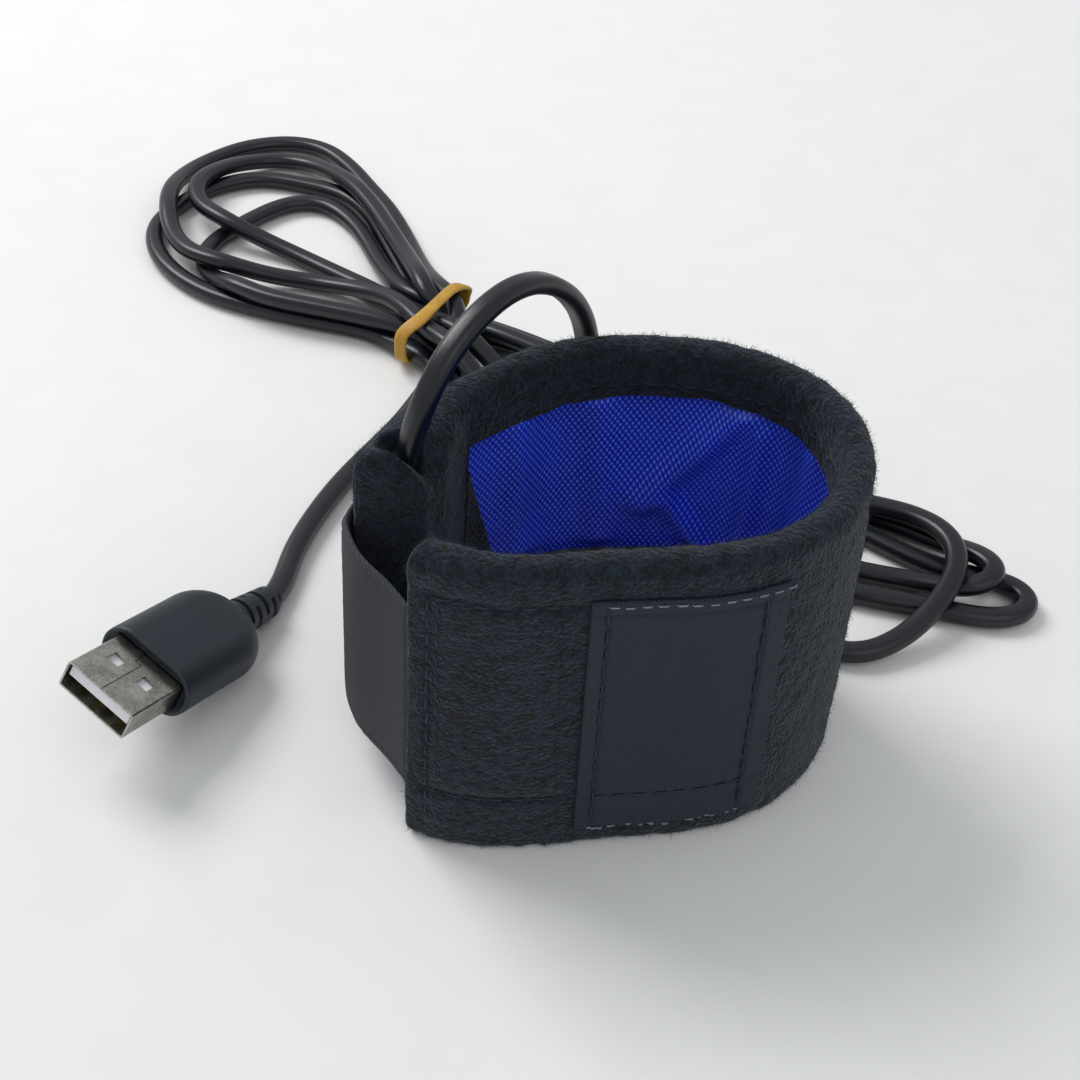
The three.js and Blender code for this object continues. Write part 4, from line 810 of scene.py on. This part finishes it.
def make_nap(name, count, seed, length):
    """Fibres that stand out of the cloth, more of them at the rim: each is a closed spike of
    three sides with one bend. Its foot is a random place of the outer grid, its first half
    leans from the outward direction, and its second half leans further."""
    draw = np.random.default_rng(seed)
    outward = unit(fleece_face - fleece_back)
    weight = (0.35 + 1.6 * smooth(fleece_height, 45, 49) + 0.5 * (fleece_out < -0.5)
              + 0.5 * (fleece_height < 2.5))[:-1, :-1].ravel()
    cell = draw.choice(len(weight), count, p=weight / weight.sum())
    i, j = np.unravel_index(cell, (fleece_face.shape[0] - 1, fleece_face.shape[1] - 1))
    u, v = draw.random((2, count, 1))
    foot = (fleece_face[i, j] * (1 - u) + fleece_face[i + 1, j] * u) * (1 - v) \
        + (fleece_face[i, j + 1] * (1 - u) + fleece_face[i + 1, j + 1] * u) * v
    out = outward[i, j]
    lean = unit(np.cross(out, draw.normal(size=(count, 3))))
    size = length * (0.4 + draw.random((count, 1)) ** 2 * 1.2)
    first = unit(out + lean * draw.uniform(0.3, 1.4, (count, 1)))
    second = unit(first + np.cross(out, lean) * draw.uniform(-1, 1, (count, 1)) + lean * 0.5)
    middle = foot + first * size * 0.5
    tip = middle + second * size * 0.5
    side = unit(np.cross(first, out + 0.01))
    other = np.cross(first, side)
    turns = (2 * np.pi * np.arange(3) / 3)[None, :, None]
    ring = side[:, None] * np.cos(turns) + other[:, None] * np.sin(turns)
    points = np.concatenate([foot[:, None] - 0.1 * out[:, None] + ring * NAP_FOOT,
                             middle[:, None] + ring * NAP_BEND, tip[:, None]], 1)
    spike = np.array([(0, 2, 1), (0, 1, 4), (0, 4, 3), (1, 2, 5), (1, 5, 4), (2, 0, 3), (2, 3, 5),
                      (3, 4, 6), (4, 5, 6), (5, 3, 6)])
    faces = (np.arange(count)[:, None, None] * points.shape[1] + spike).reshape(-1, 3)
    points[..., 2] = np.maximum(points[..., 2], 0.01)
    return make_piece(name, points, faces, NAP_PAINTED_HIGHLIGHT)


nap_fine = make_nap("nap_fine", 19000, 31, 0.55)
nap_long = make_nap("nap_long", 15000, 32, 0.9)


# Flat sheets on the band

def band_sheet(name, along, height, face, back, material):
    """A thin cloth on a grid of along and height: one face at each depth, joined round."""
    front, rear = (band_point(along[:, None], depth, height[None]) for depth in (face, back))
    flat = np.stack(np.broadcast_arrays(along[:, None], height[None]), -1)
    return make_piece(name, np.concatenate([front, rear[:, ::-1]], 1),
                      skin(len(along), 2 * len(height)), material,
                      np.concatenate([flat, flat[:, ::-1]], 1))


def fold_rise(along, height):
    """How far the folds lift the panel: a bell of the distance to each fold's line."""
    rise = 0
    for from0, height0, from1, height1, width, proud in PANEL_FOLDS:
        start = np.array((BAND_LENGTH - from0, height0))
        run = np.array((BAND_LENGTH - from1, height1)) - start
        share = ((along - start[0]) * run[0] + (height - start[1]) * run[1]) / (run @ run)
        share = np.clip(share, 0, 1)
        away = np.hypot(along - start[0] - share * run[0], height - start[1] - share * run[1])
        rise = rise + FOLD_PROUD * proud * bump(away, 0, width)
    edge = smooth(along, WINDOW_START, WINDOW_START + 3) \
        * (1 - smooth(along, WINDOW_END - 3, WINDOW_END)) \
        * smooth(height, 15, 18) * (1 - smooth(height, 40.5, 43.5))
    return rise * edge


def make_panel():
    """The woven panel, tucked under the hems: its folds, and a slow wave between them."""
    along = np.arange(PANEL_START, PANEL_END + 0.1, 0.5)
    height = np.linspace(PANEL_LOW, PANEL_HIGH, 76)
    a, h = along[:, None], height[None]
    lift = fold_rise(a, h) + 0.5 * value_noise(a / 9, h / 12, 41) * smooth(h, 15, 20)
    back = PANEL_DEPTH + PANEL_GAP + swell(a) + lift
    panel = band_sheet("panel_cloth", along, height, back + PANEL_THICKNESS, back,
                       PANEL_CLOTH)
    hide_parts("heater_panel")


def make_strap():
    """Hook tape: outside the cable end, then taut across the gap, inside the ring's curve by
    half a sine, to between the flap's layers. A bound edge runs along its top and bottom."""
    along = np.linspace(-OPENING - STRAP_OVERLAP, STRAP_TUCK, 150)
    share = np.linspace(0, 1, 84)
    height = STRAP_LOW + STRAP_WIDTH * share
    a, h = along[:, None], height[None]
    taut = np.clip((a + LOOP_LENGTH - FLEECE_END) / (LOOP_LENGTH - FLEECE_END - FLEECE), 0, 1)
    middle = STRAP_OUTSIDE + STRAP_STEP * smooth(a, -OPENING, -FLEECE) \
        + STRAP_CHORD * np.sin(np.pi * taut) ** 1.1
    half = STRAP_THICKNESS / 2 * np.sqrt(np.clip(1 - np.abs(2 * share[None] - 1) ** 24, 0.03, 1))
    from_edge = STRAP_WIDTH * (0.5 - np.abs(share[None] - 0.5))
    half = half - STRAP_FURROW * bump(from_edge, STRAP_BOUND, 0.28) \
        + 0.03 * value_noise(a / 0.8, h / 0.8, 51)
    from_end = np.minimum((a - along[0]) / 0.7, 1)
    half = half * (0.25 + 0.75 * np.sqrt(np.clip(1 - (1 - from_end) ** 2, 0, 1)))
    strap = band_sheet("strap_tape", along, height, middle - half, middle + half,
                       STRAP_CLOTH)
    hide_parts("closure_strap")


def hem_share(away, width):
    """1 on an edge that is turned under, 0 past its width."""
    return 1 - smooth(away, width - 0.3, width + 0.3)


def make_label():
    """The plain patch: cloth with its left, right and top edges turned under, so that they
    stand proud with a furrow where they are sewn, and a foot below the lower seam."""
    along = np.linspace(LABEL_START, LABEL_END, 92)
    height = np.linspace(LABEL_LOW, LABEL_TOP, 142)
    a, h = along[:, None], height[None]
    left, right, top, foot = a - LABEL_START, LABEL_END - a, LABEL_TOP - h, h - LABEL_LOW
    proud = 0.34 * np.maximum(
        np.maximum(hem_share(left, LABEL_HEM), hem_share(right, LABEL_HEM_RIGHT)),
        hem_share(top, LABEL_HEM_TOP))
    proud = proud * (0.8 + 0.35 * value_noise(a / 2.2, h / 2.2, 61))
    furrow = np.maximum(
        np.maximum(bump(left, LABEL_HEM + 0.25, 0.3), bump(right, LABEL_SEAM_RIGHT, 0.3)),
        np.maximum(bump(h, LABEL_FOOT, 0.35), bump(top, LABEL_HEM_TOP + 0.3, 0.3)))
    puff = 0.22 * np.sin(np.pi * np.clip(left / LABEL_LENGTH, 0, 1)) \
        * np.sin(np.pi * np.clip(foot / LABEL_HEIGHT, 0, 1))
    grain = 0.05 * value_noise(a / 1.3, h / 1.3, 62)
    face = -(LABEL_FACE + proud + puff - 0.25 * furrow + grain)
    edge = np.minimum(np.minimum(left, right), np.minimum(top, foot))
    face = face * (0.65 + 0.35 * smooth(edge, 0, 0.3))
    label = band_sheet("label_cloth", along, height, face, LABEL_BACK, LABEL_CLOTH)
    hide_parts("label_patch")


make_panel()
make_strap()
make_label()


# Sewing

def sew(name, runs, material, seed):
    """Stitches as short thick threads: each run gives a start, an end, a depth, the length of a
    stitch, the gap behind it and how far it wanders. A stitch is rings of points about its own
    line, thin at both ends, that dips into the cloth there."""
    draw = np.random.default_rng(seed)
    starts, ends = [], []
    for along0, height0, along1, height1, depth, length, gap, wander in runs:
        total = np.hypot(along1 - along0, height1 - height0)
        count = int(total / (length + gap))
        places = np.arange(count) * (length + gap) + draw.uniform(-0.1, 0.1, count)
        first = places[:, None] / total
        line = np.array((along1 - along0, height1 - height0))
        base = np.array((along0, height0)) + draw.normal(0, wander, (count, 2))
        last, depths = first + length / total, np.full(count, depth)
        starts.append(np.column_stack([base + line * first, depths]))
        ends.append(np.column_stack([base + line * last, depths]))
    starts, ends = np.concatenate(starts), np.concatenate(ends)
    share = np.array(STITCH_SHARES)[None, :, None]
    flat = starts[:, None] * (1 - share) + ends[:, None] * share
    inwards = np.where(flat[..., 2] > 2, -1, 1)
    line = band_point(flat[..., 0], flat[..., 2] + np.array(STITCH_DIPS) * inwards, flat[..., 1])
    tangent = unit(line[:, -1] - line[:, 0])[:, None, None]
    side = unit(np.cross(tangent, UP + 0.013))
    over = np.cross(tangent, side)
    turn = (2 * np.pi * np.arange(STITCH_SIDES) / STITCH_SIDES)[None, None, :, None]
    radius = np.array(STITCH_RADII)[None, :, None, None]
    points = line[:, :, None] + radius * (side * np.cos(turn) + over * np.sin(turn))
    one = skin(len(STITCH_SHARES), STITCH_SIDES)
    first_point = np.arange(len(points))[:, None, None] * len(STITCH_SHARES) * STITCH_SIDES
    return make_piece(name, points, (first_point + one).reshape(-1, 4), material)


LABEL_LEFT_SEAM, LABEL_RIGHT_SEAM = LABEL_START + LABEL_HEM + 0.2, LABEL_END - LABEL_SEAM_RIGHT
seams = sew("seams", (
    (3.3, 5, 3.3, 46, -0.05, 2.0, 0.8, 0.06),
    (4.6, 10, 4.6, 44, -0.05, 2.0, 0.8, 0.06),
    (3.3, UPPER_SEAM, LABEL_START, UPPER_SEAM, -0.05, 2.0, 0.9, 0.06),
    (3.3, LABEL_FOOT, LABEL_START, LABEL_FOOT, -0.05, 2.0, 0.9, 0.06),
    (LABEL_LEFT_SEAM, 6, LABEL_LEFT_SEAM, LABEL_TOP - 1, -0.78, 2.2, 0.7, 0.05),
    (LABEL_RIGHT_SEAM, 6, LABEL_RIGHT_SEAM, LABEL_TOP - 1, -0.78, 2.2, 0.7, 0.05),
    (LABEL_START + 2, LABEL_FOOT, LABEL_END, LABEL_FOOT, -0.66, 2.0, 0.8, 0.05),
    (WINDOW_START + 2, 44.4, WINDOW_END + 10, 44.4, 5.25, 2.2, 0.8, 0.06)),
    THREAD_DARK, 71)
sew("pale_seams", (
    (LABEL_START + 2, LABEL_TOP - 0.7, LABEL_END + 2, LABEL_TOP - 0.7, -0.95, 1.6, 0.5, 0.07),
    (LABEL_START + 2, LABEL_LOW + 0.3, LABEL_END - 4, LABEL_LOW + 0.3, -0.6, 1.1, 1.5, 0.25),
    (LABEL_START + 2, LABEL_LOW + 0.05, LABEL_END - 1, LABEL_LOW + 0.05, -0.5, 0.8, 0.9, 0.2)),
    THREAD_PALE, 72)
